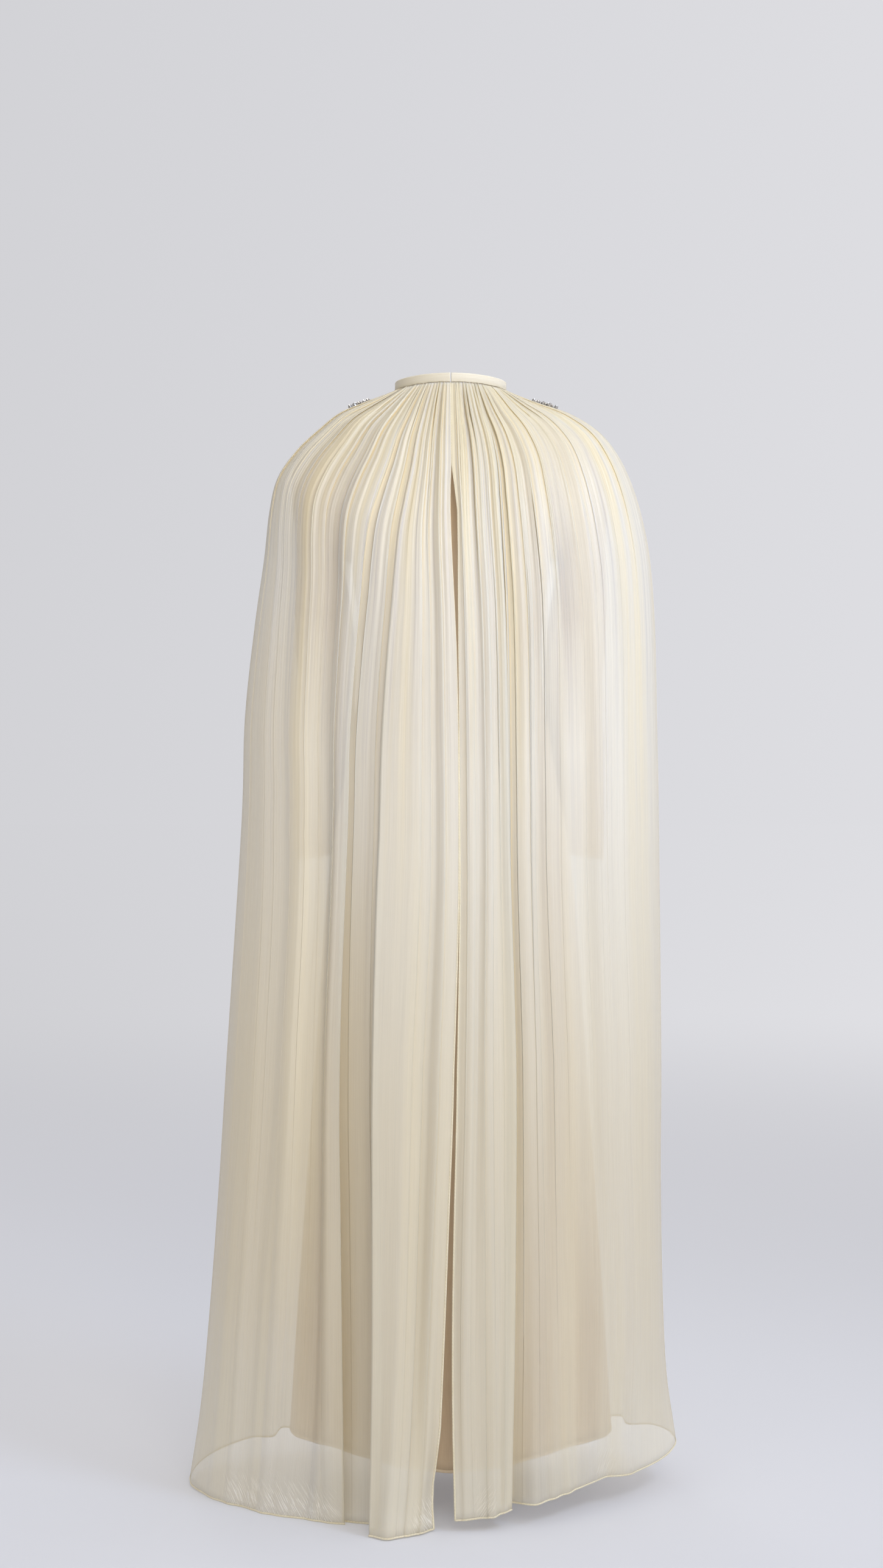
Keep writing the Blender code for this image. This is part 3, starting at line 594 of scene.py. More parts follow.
def add_cloth(name, points, thickness, uv, finish, flip, closed=False, traits=None):
    """A sheet of cloth and its outward normals: an outer grid and an inner one a thickness
    behind it, joined round their edges by rims."""
    rows, columns = points.shape[:2]
    outward = grid_normals(points, closed) * (-1 if flip else 1)
    inner = points - thickness * outward
    count = rows * columns
    outer_faces = grid_quads(rows, columns, closed)
    grid = np.arange(count).reshape(rows, columns)
    edges = [grid[0], grid[-1, ::-1]]
    if closed:
        edges = [np.append(edge, edge[0]) for edge in edges]
    else:
        edges += [grid[::-1, 0], grid[:, -1]]
    groups = [outer_faces, outer_faces[:, ::-1] + count]
    for edge in edges:
        start, end = edge[:-1], edge[1:]
        groups.append(np.stack([end, start, start + count, end + count], -1))
    if flip:
        groups = [faces[:, ::-1] for faces in groups]
    both = np.concatenate([points.reshape(-1, 3), inner.reshape(-1, 3)])
    pairs = np.tile(uv.reshape(-1, 2), (2, 1))
    traits = {trait: np.tile(values.ravel(), 2) for trait, values in (traits or {}).items()}
    return add_mesh(name, both, groups, finish, pairs, traits=traits), outward


def add_roll(name, path, across, radii, finish, sides=8, looped=False, grown=1.0):
    """A rolled edge: an ellipse carried along a path. across is the cloth's normal on the
    path, radii the ellipse's half sizes along that normal and in the cloth, and grown their
    share at each point of the path."""
    along = unit(slopes(path, 0, looped))
    across = unit(across - (across * along).sum(-1, keepdims=True) * along)
    beside = np.cross(along, across)
    turn = turns(sides)[None, :, None]
    circle = radii[0] * np.cos(turn) * across[:, None] + radii[1] * np.sin(turn) * beside[:, None]
    points = path[:, None] + circle * np.reshape(grown, (-1, 1, 1))
    uv = cloth_map(2 * math.pi * radii[1] * np.arange(sides) / sides, run_along(path))
    if looped:
        faces = [grid_quads(len(path), sides, closed=True, looped=True)]
    else:
        faces = tube_faces(len(path), sides)
    return add_mesh(name, points, faces, finish, uv)


def add_repeated(name, form, centres, frames, sizes, finish, smooth=False):
    """One mesh of many copies of a small form, its points and its groups of faces. frames has
    a row for each copy's own x, y and z axes, and sizes its scale."""
    shape, groups = form
    turned = np.einsum("pk,mkd->mpd", shape, frames) * sizes[:, None, None]
    points = centres[:, None] + turned
    first = (np.arange(len(centres)) * len(shape))[:, None, None]
    copies = [(group[None] + first).reshape(-1, group.shape[1]) for group in groups]
    return add_mesh(name, points, copies, finish, smooth=smooth)


def declare_sheet(nodes):
    """Hides the imported solids that a sheet of cloth stands for."""
    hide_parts(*nodes)


# Finishes


class Value:
    """A socket in a finish's node tree. Arithmetic on it adds Math nodes."""

    def __init__(self, finish, socket):
        self.finish, self.socket = finish, socket

    def maths(self, operation, *values):
        return self.finish.node("ShaderNodeMath", {"operation": operation}, values)

    def __add__(self, other):
        return self.maths("ADD", self, other)

    def __sub__(self, other):
        return self.maths("SUBTRACT", self, other)

    def __rsub__(self, other):
        return self.maths("SUBTRACT", other, self)

    def __mul__(self, other):
        return self.maths("MULTIPLY", self, other)

    def __truediv__(self, other):
        return self.maths("DIVIDE", self, other)

    __radd__, __rmul__ = __add__, __mul__

    def sine(self):
        return self.maths("SINE", self)

    def between(self, low, high):
        """0 where the value is low or less, 1 where it is high or more, eased between."""
        settings = {"interpolation_type": "SMOOTHSTEP"}
        return self.finish.node("ShaderNodeMapRange", settings, [self, low, high, 0.0, 1.0])

    def scaled(self, *factors):
        """A vector with each part multiplied by its own factor."""
        settings = {"operation": "MULTIPLY"}
        return self.finish.node("ShaderNodeVectorMath", settings, [self, factors])

    def part(self, index):
        return self.finish.node("ShaderNodeSeparateXYZ", {}, [self], index)


class Finish:
    """A material in the making: its node tree and its Principled shader."""

    def __init__(self, name, **constants):
        self.material = bpy.data.materials.new(name)
        self.material.use_nodes = True
        self.tree = self.material.node_tree
        self.shader = self.tree.nodes["Principled BSDF"]
        for socket, value in constants.items():
            self.shader.inputs[socket.replace("_", " ")].default_value = value

    def node(self, kind, settings, values, output=0):
        """A node with its settings set and its input sockets fed, by position or by name."""
        added = self.tree.nodes.new(kind)
        for key, setting in settings.items():
            setattr(added, key, setting)
        pairs = values.items() if isinstance(values, dict) else enumerate(values)
        for socket, value in pairs:
            self.feed(added.inputs[socket], value)
        return Value(self, added.outputs[output])

    def feed(self, socket, value):
        if isinstance(value, Value):
            self.tree.links.new(value.socket, socket)
        else:
            socket.default_value = value

    def cloth_place(self):
        """Where a point lies on the flat cloth, across and along, in metres."""
        return self.node("ShaderNodeUVMap", {"uv_map": "cloth"}, [])

    def object_place(self):
        return self.node("ShaderNodeTexCoord", {}, [], 3)

    def trait(self, name):
        """A number that the piece gives at each of its points."""
        return self.node("ShaderNodeAttribute", {"attribute_name": name}, [], 2)

    def noise(self, place, across, along, detail=1.0, deep=1.0):
        """Noise from 0 to 1 whose marks are across by along in size."""
        place = place.scaled(1 / across, 1 / along, 1 / deep)
        values = {"Vector": place, "Scale": 1.0, "Detail": detail, "Roughness": 0.55}
        return self.node("ShaderNodeTexNoise", {"noise_dimensions": "3D"}, values)

    def mix(self, share, first, second):
        """A colour between two colours."""
        values = {0: share, 6: first, 7: second}
        return self.node("ShaderNodeMix", {"data_type": "RGBA"}, values, 2)

    def shade(self, colour, factor):
        """A colour made lighter or darker by a factor."""
        values = {0: 1.0, 6: colour, 7: self.node("ShaderNodeCombineColor", {}, [factor] * 3)}
        settings = {"data_type": "RGBA", "blend_type": "MULTIPLY"}
        return self.node("ShaderNodeMix", settings, values, 2)

    def finished(self, colour=None, roughness=None, alpha=None, height=None, depth=0.0, bump=1.0):
        """Feeds the shader and gives the material. depth is the relief's real height."""
        fed = {"Base Color": colour, "Roughness": roughness, "Alpha": alpha}
        if height is not None:
            values = {"Strength": bump, "Distance": depth, "Height": height}
            fed["Normal"] = self.node("ShaderNodeBump", {}, values)
        for socket, value in fed.items():
            if value is not None:
                self.feed(self.shader.inputs[socket], value)
        return self.material


def rgb(red, green, blue):
    """A scene colour from the 0 to 255 numbers of a screen colour."""
    share = np.array([red, green, blue]) / 255
    lit = np.where(share <= 0.04045, share / 12.92, ((share + 0.055) / 1.055) ** 2.4)
    return (*[float(value) for value in lit], 1.0)


def cape_finish():
    """Sheer satin chiffon: fine upright fibres, broader warm and cool bands, and a cloth that
    is denser where it is warm and where it lies double in the tucks, which carry a painted
    golden shade, as does the side turned away from the key lamp. The marks are strongest in
    the gathers and calm down the cape, which turns darker and warmer towards the hem in
    painted shade, and near the hem painted highlights stand for the weave's glinting."""
    finish = Finish("cape satin chiffon", Sheen_Weight=0.15, Sheen_Roughness=0.4, Specular_IOR_Level=0.7)
    # deep is the golden colour of the painted shade in the tucks and on the shaded side, bright the
    # near-white of the painted highlights near the hem, and low the darker, warmer colour of the painted
    # shade down at the hem.
    cool, plain, low = rgb(237, 234, 227), rgb(245, 240, 226), rgb(238, 229, 206)
    warm, deep, bright = rgb(246, 234, 201), rgb(230, 206, 152), rgb(255, 253, 246)
    place = finish.cloth_place()
    fibre = finish.noise(place, 0.0011, 0.11, 2)
    thread = finish.noise(place, 0.0040, 0.35, 2)
    band = finish.noise(place, 0.0170, 0.90, 2)
    broad = finish.noise(place, 0.0600, 1.40, 1)
    down = place.part(1)
    gathered = 1.0 - 0.85 * down.between(0.12, 0.90)
    near_neck = 0.66 * (1.0 - down.between(0.04, 0.32))
    warmth = (band * 0.6 + broad * 0.4).between(0.47, 0.68) * gathered + near_neck
    cold = (thread * 0.45 + band * 0.55).between(0.50, 0.34) * gathered
    # Painted shade: the ground turns darker and warmer down the cape, for the dimmer light low down.
    ground = finish.mix(down.between(0.50, 1.10), plain, low)
    colour = finish.mix(cold, finish.mix(warmth, ground, warm), cool)
    colour = finish.mix(0.35 * broad.between(0.42, 0.62) * (1.0 - gathered), colour, warm)
    lively = 0.35 + 0.65 * gathered
    grain = (0.11 * fibre + 0.03 * thread - 0.07) * lively
    colour = finish.shade(colour, 1.0 + grain)
    # Painted shade: the tucks and the side turned from the key lamp turn golden and darker. The tucks
    # are also real doubled cloth, which the alpha below makes denser.
    tuck_and_shade = finish.trait("tuck_and_shade").between(0.0, 1.1)
    colour = finish.mix(tuck_and_shade * 0.75, colour, deep)
    # Painted highlight: slanting near-white streaks close above the hem stand for the weave glinting.
    slant = place.part(0) + down * 0.55
    slanted = finish.node("ShaderNodeCombineXYZ", {}, [slant, down])
    glint = finish.noise(slanted, 0.0013, 0.0200, 3).between(0.48, 0.66) * finish.trait("glint")
    colour = finish.mix(glint, colour, bright)
    roughness = 0.35 + 1.2 * grain - 0.12 * glint
    alpha = 0.45 + 0.08 * warmth - 0.06 * cold + 0.8 * grain + 0.25 * tuck_and_shade
    alpha = alpha - 0.04 * (1.0 - gathered) - 0.13 * finish.trait("sheer") + 0.45 * glint
    height = (fibre * 0.7 + thread * 0.6) * lively
    return finish.finished(colour, roughness, alpha, height, 0.0010, 0.50)


def rolled_finish(name, colour, edge):
    """A narrow rolled edge of the cape cloth: slanting overcast threads in a lighter tone."""
    finish = Finish(name, Sheen_Weight=0.15)
    place = finish.cloth_place()
    overcast = (place.part(1) * 1500 + place.part(0) * 900).sine()
    grain = finish.noise(place, 0.0010, 0.0200, 2)
    tone = finish.mix(grain.between(0.40, 0.62), colour, edge)
    tone = finish.shade(tone, 0.95 + 0.05 * overcast)
    return finish.finished(tone, 0.42 + 0.12 * grain, None, overcast * 0.5 + grain, 0.0002, 0.4)


def woven_finish(name, colour, other, pitch, lustre):
    """A plain weave: crossing rounded threads, slubs along both, and a soft change of tone."""
    finish = Finish(name, Sheen_Weight=0.2, Sheen_Roughness=0.5, Specular_IOR_Level=0.35)
    place = finish.cloth_place()
    turn = 2 * math.pi / pitch
    weave = (place.part(0) * turn).sine() * (place.part(1) * turn).sine()
    slub = finish.noise(place, 0.0009, 0.030, 2)
    cross_slub = finish.noise(place, 0.040, 0.0009, 2)
    cloud = finish.noise(place, 0.060, 0.25, 2)
    tone = finish.mix((slub * 0.5 + cloud * 0.5).between(0.40, 0.62), colour, other)
    tone = finish.shade(tone, 0.94 + 0.04 * weave + 0.06 * cross_slub)
    height = weave * 0.35 + slub * 0.5 + cross_slub * 0.3
    return finish.finished(tone, lustre + 0.14 * slub, None, height, 0.0003, 0.5)


def silver_finish(name, colour, roughness):
    """Plated metal or foiled glass: a bright surface with faint clouding and fine scratches."""
    finish = Finish(name, Metallic=1.0)
    place = finish.object_place()
    cloud = finish.noise(place, 0.0025, 0.0025, 2, 0.0025)
    scratch = finish.noise(place, 0.0002, 0.0016, 2, 0.0004)
    tone = finish.shade(finish.mix(0.4 * cloud, colour, rgb(236, 236, 240)), 0.90 + 0.12 * scratch)
    return finish.finished(tone, roughness + 0.10 * scratch, None, scratch, 0.00002, 0.2)


BACKDROP = rgb(216, 216, 220)
BACKDROP_SLOPE = 0.35
CAPE_FINISH = cape_finish()
HEM_FINISH = rolled_finish("cape rolled hem", rgb(228, 215, 182), rgb(238, 228, 200))
DRESS_FINISH = woven_finish("dress crepe", rgb(214, 190, 158), rgb(222, 200, 170), 0.0011, 0.52)
DRESS_HEM_FINISH = woven_finish(
    "dress turned hem", rgb(226, 206, 176), rgb(234, 216, 190), 0.0011, 0.50
)
BAND_FINISH = woven_finish("neckband satin", rgb(222, 212, 188), rgb(230, 221, 200), 0.0008, 0.44)
NET_FINISH = woven_finish("bead backing net", rgb(184, 180, 172), rgb(204, 200, 192), 0.0010, 0.45)
STONE_FINISH = silver_finish("silver stone", rgb(190, 184, 176), 0.07)
SETTING_FINISH = silver_finish("plated setting", rgb(166, 160, 150), 0.22)
BEAD_FINISH = silver_finish("seed bead", rgb(172, 170, 168), 0.18)


# The cape

# The share of the way round at which the length of a back and of a front panel is measured
BACK_MIDDLE, FRONT_MIDDLE = 0.3, 0.7
# How far the roll along the foot is raised, and how far it stays clear of the floor
HEM_RAISED, HEM_CLEARANCE = 0.0005, 0.0002
# The roll's share of its full size down to the first of two rings, and full from the second
SLIM_HEM = 0.35
HEM_GROWS = (RING_NAMES.index("blade"), RING_NAMES.index("shin"))


def add_cape_panel(name, panel):
    """A cape panel with a rolled hem round its free edge and foot, and a back panel with its
    side seam. The roll follows the panel's own edge points, and is slimmer above the shins."""
    side, front = panel.side, panel.front
    ring = panel_rows(front, panel.rows)
    column = panel_columns(panel)
    points, tuck_and_shade = panel_points(panel, ring, column)
    points[..., 2] = np.maximum(points[..., 2], FLOOR + FLOOR_CLEARANCE)
    thigh = np.searchsorted(ring, RING_NAMES.index("thigh"))
    along = run_along(cape_form(side, ring, FRONT_MIDDLE if front else BACK_MIDDLE))
    uv = cloth_map(run_along(points[thigh]) + panel.start, along)
    traits = cloth_traits(panel, ring, column, tuck_and_shade)
    flip = (side < 0) != front
    cloth, outward = add_cloth(name + "_cloth", points, CAPE_CLOTH, uv, CAPE_FINISH, flip, traits=traits)
    edge = points[:, 0] - outward[:, 0] * CAPE_CLOTH / 2
    foot = points[-1] - outward[-1] * CAPE_CLOTH / 2 + (0, 0, HEM_RAISED)
    path = np.concatenate([edge[:-1], foot])
    path[:, 2] = np.maximum(path[:, 2], FLOOR + HEM_RADII[1] + HEM_CLEARANCE)
    across = np.concatenate([outward[:-1, 0], outward[-1]])
    first, last = HEM_GROWS
    slim = SLIM_HEM + (1 - SLIM_HEM) * smooth_step((ring[:-1] - first) / (last - first))
    grown = np.concatenate([slim, np.ones(len(foot))])
    trim = [add_roll(name + "_rolled_hem", path, across, HEM_RADII, HEM_FINISH, grown=grown)]
    if not front:
        seam = points[:, -1] - outward[:, -1] * CAPE_CLOTH
        seam[:, 1] -= SEAM_GAP / 2
        seam_name = name.replace("back", "side") + "_seam"
        trim.append(add_roll(seam_name, seam, outward[:, -1], SEAM_RADII, CAPE_FINISH))
    declare_sheet([name])


# The neckband

# Points on each half of the neckline
NECK_POINTS = 121
# How high the two rows of stitches lie on the band, and how far outside the neckline
STITCH_ROWS = {"low": 0.0030, "high": 0.0102}
STITCHES_OUT = 0.00125


def neckline(share, side, out=0.0):
    """Points on the neckline, moved out level by out."""
    points = cape_form(side, 0.0 * share, share)
    return points + unit(points * (1, 1, 0)) * out


def neck_loop(out, up):
    """The neckline's way round from the centre back, split there by a seam's gap, moved out
    level by out and up by up."""
    share = np.linspace(0, 1, NECK_POINTS)
    share[0] = 2 * SEAM_GAP / (math.pi * RING_TABLE[0][1])
    loop = np.concatenate([neckline(share, 1, out), neckline(share[::-1], -1, out)[1:]])
    return loop + (0, 0, up)


def add_neckband():
    """A binding swept round the neckline: a rounded oblong profile whose outer leg comes down
    over the gathers, split at the centre back. Between two rows of stitches it swells a
    little, and the gathers under it make its lower edge uneven."""
    bottom, top, inner, outer = 0.0006, 0.0126, -0.0046, 0.0012
    stitch_pitch, swell, unevenness = 0.0075, 0.012, 0.02
    roundness = 0.45
    turn = turns(28)
    square = lambda wave: np.sign(wave) * np.abs(wave) ** roundness
    out = (inner + outer) / 2 + (outer - inner) / 2 * square(np.cos(turn))
    rise = (bottom + top) / 2 + (top - bottom) / 2 * square(np.sin(turn))
    points = np.stack([neck_loop(away, up) for away, up in zip(out, rise)], axis=1)
    middle = points.mean(axis=1, keepdims=True)
    run = run_along(middle[:, 0])
    ripple = swell * np.sin(run * 2 * math.pi / stitch_pitch) + unevenness * wander(run * 160, 61)
    low = np.clip(-np.sin(turn), 0, 1)
    points = middle + (points - middle) * (1 + ripple[:, None] * (0.4 + low))[..., None]
    uv = cloth_map(run_along(np.stack([out, rise], -1)), run)
    band = add_mesh("neckband_binding", points, tube_faces(*points.shape[:2]), BAND_FINISH, uv)
    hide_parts("neckband")


def capsule(sides=6, rings=4):
    """A small bead along x: circles whose radius follows a half circle at both ends."""
    turn = turns(sides)
    lean = math.pi * (np.arange(rings) + 0.5) / rings
    circle = np.stack([np.zeros(sides), np.cos(turn), np.sin(turn)], -1)
    points = np.sin(lean)[:, None, None] * circle[None]
    points[..., 0] = -np.cos(lean)[:, None]
    points = np.concatenate([points.reshape(-1, 3), [[-1, 0, 0], [1, 0, 0]]])
    ring = np.arange(sides)
    beside = (ring + 1) % sides
    last = (rings - 1) * sides
    ends = np.concatenate([
        np.stack([np.full(sides, rings * sides), beside, ring], -1),
        np.stack([np.full(sides, rings * sides + 1), last + ring, last + beside], -1),
    ])
    return points, [grid_quads(rings, sides, closed=True), ends]


def add_stitches(name, path, across, length, thickness, pitch):
    """Running stitches: small beads laid end to end along a path, a pitch apart."""
    run = run_along(path)
    at = np.arange(pitch, run[-1] - pitch, pitch)
    on = lambda places, lines: np.stack([np.interp(places, run, line) for line in lines.T], -1)
    centres, away = on(at, path), unit(on(at, across))
    along = unit(on(at + pitch / 2, path) - centres)
    away = unit(away - (away * along).sum(-1, keepdims=True) * along)
    frames = np.stack([along * length, away * thickness, np.cross(along, away) * thickness], 1)
    stitches = add_repeated(name, capsule(), centres, frames, np.full(len(at), 0.5), HEM_FINISH, True)


def add_neckband_stitches():
    for row, rise in STITCH_ROWS.items():
        line = neck_loop(STITCHES_OUT, rise)
        add_stitches(
            "neckband_stitches_" + row, line, unit(line * (1, 1, 0)), length=0.0019,
            thickness=0.0003, pitch=0.0027,
        )


# The dress

# How far along its weave each piece begins, so that no two are alike
DRESS_STARTS = {"back": 2, "front": 5}
SLEEVE_START = 8
# How far inside the head of the sleeve the seam round the armhole lies
ARMHOLE_SEAM_IN = 0.0006


def armhole(depth, share):
    """Points down one edge of the armhole, from the shoulder tip to the underarm: a straight
    line hollowed inwards and to the back or front by half waves."""
    hollow, reach_y = depth
    tip, low = np.array(SHOULDER_TIP), np.array(UNDERARM)
    points = tip + (low - tip) * share[:, None]
    points[:, 0] -= hollow * np.sin(math.pi * share)
    points[:, 1] += reach_y * np.sin(math.pi * share) ** 0.8
    return points


def dress_top_edge(front, share):
    """Half of a dress panel's top edge: neckline from the centre to the neck point, then the
    shoulder seam to the shoulder tip."""
    round_share = np.clip(share / NECK_SHARE, 0, 1) / 2
    points = neckline(1 - round_share if front else round_share, 1, -DRESS_INSET)
    points[:, 2] -= DRESS_DROP
    gap = seam_side(front)
    start = neckline(np.array([0.5]), 1, -DRESS_INSET)[0] - (0, 0, DRESS_DROP)
    along = np.clip((share - NECK_SHARE) / (1 - NECK_SHARE), 0, 1)[:, None]
    seam = start + (np.array(SHOULDER_TIP) - start) * along
    seam[:, 1] = gap
    points[:, 1] = np.where(np.abs(points[:, 1]) < abs(gap), gap, points[:, 1])
    return np.where((share > NECK_SHARE)[:, None], seam, points)


def dress_ring(front, level, share):
    """Half of a dress panel's section, from the centre to the side: a quarter ellipse, with
    soft upright folds that grow towards the hem, which rises towards the side."""
    table = np.array(list(DRESS_RINGS.values()))
    z, width, back_y, front_y = np.moveaxis(smooth_rows(table, level), -1, 0)
    turn = 0.5 * math.pi * share
    gap = seam_side(front)
    y = (front_y if front else back_y) * np.cos(turn)
    y = np.where(np.abs(y) < abs(gap), gap, y)
    down = level / (len(DRESS_RINGS) - 1)
    soft = 1 + 0.02 * down * np.cos(10 * math.pi * share)
    fold = smooth_step(down) * np.sin(math.pi * share) * wander(share * 9, 31 if front else 32)
    soft = soft + 0.014 * fold
    x = width * np.sin(turn) * (1 + 0.006 * fold)
    centre, sides = DRESS_HEM_RISE
    rise = (centre + sides * smooth_step(share / 0.6)) * smooth_step((level - 3.5) / 1.5)
    return np.stack([x, y * soft, z + rise], axis=-1)


def dress_half(front, columns=71, bodice_rows=34, skirt_rows=96):
    """Points of half a dress panel. The bodice is a patch between its four edges, swelled at
    the shoulder blade or the bust, and the skirt follows the rings."""
    share = np.linspace(0, 1, columns)
    top = dress_top_edge(front, share)
    chest = dress_ring(front, 0.0, share)
    down = np.linspace(0, 1, bodice_rows)
    side = armhole(FRONT_ARMHOLE if front else BACK_ARMHOLE, down)
    side[[0, -1], 1] = top[-1, 1], chest[-1, 1]
    centre = top[0] + (chest[0] - top[0]) * down[:, None]
    u, v = share[None, :, None], down[:, None, None]
    patch = (
        (1 - v) * top[None] + v * chest[None] + (1 - u) * centre[:, None] + u * side[:, None]
        - (1 - u) * (1 - v) * top[0] - u * (1 - v) * top[-1] - (1 - u) * v * chest[0] - u * v * chest[-1]
    )
    arch = np.sin(math.pi * down)[:, None]
    middle, shoulder = (-0.006, -0.010) if front else (0.006, 0.010)
    patch[..., 1] += middle * arch * np.cos(0.5 * math.pi * share)
    patch[..., 1] += shoulder * arch**0.7 * np.sin(math.pi * share**0.8)
    levels = np.linspace(0, len(DRESS_RINGS) - 1, skirt_rows)[1:]
    skirt = np.stack([dress_ring(front, level, share) for level in levels])
    return np.concatenate([patch, skirt])


def add_dress_panel(place, front):
    name = "dress_" + place
    half = dress_half(front)
    whole = np.concatenate([half[:, :0:-1] * (-1, 1, 1), half], axis=1)
    uv = cloth_map(run_along(whole[-1]) + DRESS_STARTS[place], run_along(half[:, 0]))
    cloth, outward = add_cloth(name + "_cloth", whole, DRESS_CLOTH, uv, DRESS_FINISH, front)
    foot = whole[-1] - outward[-1] * DRESS_CLOTH / 2
    hem = add_roll(name + "_hem", foot, outward[-1], DRESS_HEM_RADII, DRESS_HEM_FINISH)
    nodes = [f"dress_bodice_{place}", f"dress_skirt_{place}"]
    declare_sheet(nodes)


def sleeve_points(side, around=72, count=120):
    """Points of a sleeve: its head follows the armhole, and each ring below is a tilted
    ellipse, creased at the elbow and softly rippled along."""
    turn = turns(around)
    down = np.where(turn <= math.pi, turn, 2 * math.pi - turn) / math.pi
    back = (turn <= math.pi)[:, None]
    head = np.where(back, armhole(BACK_ARMHOLE, down), armhole(FRONT_ARMHOLE, down))
    head[:, 0] += SLEEVE_SET
    rings = [head]
    for x, y, z, tilt, length, depth in SLEEVE_RINGS.values():
        lean = math.radians(tilt)
        long_axis = np.array([math.cos(lean), 0, math.sin(lean)])
        ring = np.array([x, y, z]) + length * np.cos(turn)[:, None] * long_axis
        ring[:, 1] += depth * np.sin(turn)
        rings.append(ring)
    at = np.linspace(0, len(SLEEVE_RINGS), count)
    points = smooth_rows(np.stack(rings), at)
    middle = points.mean(axis=1, keepdims=True)
    bend = np.exp(-((at - 4) / 0.9) ** 2)[:, None]
    crease = np.sin(at[:, None] * 9 + 1.5 * np.cos(turn)) * (0.5 - 0.5 * np.sin(turn))
    ripple = wander(turn, 40 + side) * 0.4
    calm = smooth_step(at / 1.2)[:, None] * smooth_step((len(SLEEVE_RINGS) - at) / 0.8)[:, None]
    swell = calm * (0.05 * bend * crease + 0.012 * np.sin(turn * 5 + at[:, None]) + 0.01 * ripple)
    return (middle + (points - middle) * (1 + swell[..., None])) * (side, 1, 1)


def add_sleeve(place, side):
    """A sleeve with a turned hem at the cuff and a seam round the armhole."""
    name = "sleeve_" + place
    points = sleeve_points(side)
    across = run_along(points[len(points) // 2]) + SLEEVE_START + side
    uv = cloth_map(across, run_along(points.mean(axis=1)))
    cloth, outward = add_cloth(
        name + "_cloth", points, DRESS_CLOTH, uv, DRESS_FINISH, side > 0, closed=True
    )
    cuff = points[-1] - outward[-1] * DRESS_CLOTH / 2
    cuff = add_roll(name + "_cuff_hem", cuff, outward[-1], CUFF_RADII, DRESS_HEM_FINISH, looped=True)
    seam = points[0] - (side * ARMHOLE_SEAM_IN, 0, 0)
    seam = add_roll(name + "_armhole_seam", seam, outward[0], ARMHOLE_RADII, DRESS_FINISH, looped=True)
    nodes = [f"sleeve_upper_{place}", f"sleeve_lower_{place}"]
    declare_sheet(nodes)


# The shoulder ornaments


def turned_form(sides, rings):
    """A small turned shape with its face towards +z and closed ends: rings of a radius, a
    height, and a twist of 1 where their corners lie between the next ring's."""
    turn = turns(sides)
    circles = [
        np.stack([size * np.cos(turn + twist * math.pi / sides),
                  size * np.sin(turn + twist * math.pi / sides), 0 * turn + height], -1)
        for size, height, twist in rings
    ]
    return np.concatenate(circles), [faces[:, ::-1] for faces in tube_faces(len(rings), sides)]


# A round cut stone: a flat table, a sloped crown and a short straight girdle
STONE = turned_form(8, ((0.50, 0.86, 1), (0.80, 0.60, 0), (1.00, 0.20, 1), (1.00, 0.00, 1)))
# A round cup for it: a low ring with a rounded rim
SETTING = turned_form(10, ((1.02, 0.30, 0), (1.20, 0.24, 0), (1.26, 0.05, 0), (1.20, -0.10, 0)))
# The setting's rim and whole height, and how far a stone stands out, as shares of its radius
SETTING_RIM, SETTING_HEIGHT, STONE_OUT = 0.30, 0.4, 0.35
# Radii of the stones, and between which the beads' radii lie
LARGE_STONE, MIDDLE_STONE, SMALL_STONE = 0.0027, 0.0021, 0.0012
BEAD_RADII = (0.00055, 0.00085)
# Where the stones lie on the ornament's grid: the rows' first, last and number, then the
# columns'. Odd and even rows of the larger ones are moved along, but not past the limits.
LARGER_STONES = ((5, 27, 5), (5, 35, 6))
SMALL_STONES = ((7.75, 24.25, 4), (3, 37, 7))
ODD_ROWS, EVEN_ROWS = 3.0, -0.5
STONE_LIMITS = (3, 37)
# How much higher the stones stand by the shoulder seam, and how much more away from the neck
SEAM_LIFT, OUTER_LIFT = 0.0024, 0.0014
# Lines of beads round the edge, from one place on the grid to another, and how many. The
# loose ones lie anywhere between two corners.
BEAD_LINES = (
    ((0.8, 1.0), (31.2, 1.0), 20), ((0.8, 39.0), (31.2, 39.0), 20),
    ((0.8, 3.0), (0.8, 37.0), 16), ((31.2, 3.0), (31.2, 37.0), 16),
)
LOOSE_BEADS = ((2, 2), (30, 38), (90, 2))


def spots_on_rows(rows, columns, shifts=0.0):
    """Grid places of evenly spaced rows and columns, each row moved along by its shift."""
    down, across = np.meshgrid(np.linspace(*rows), np.linspace(*columns), indexing="ij")
    return np.stack([down.ravel(), np.clip(across + shifts, *STONE_LIMITS).ravel()], -1)


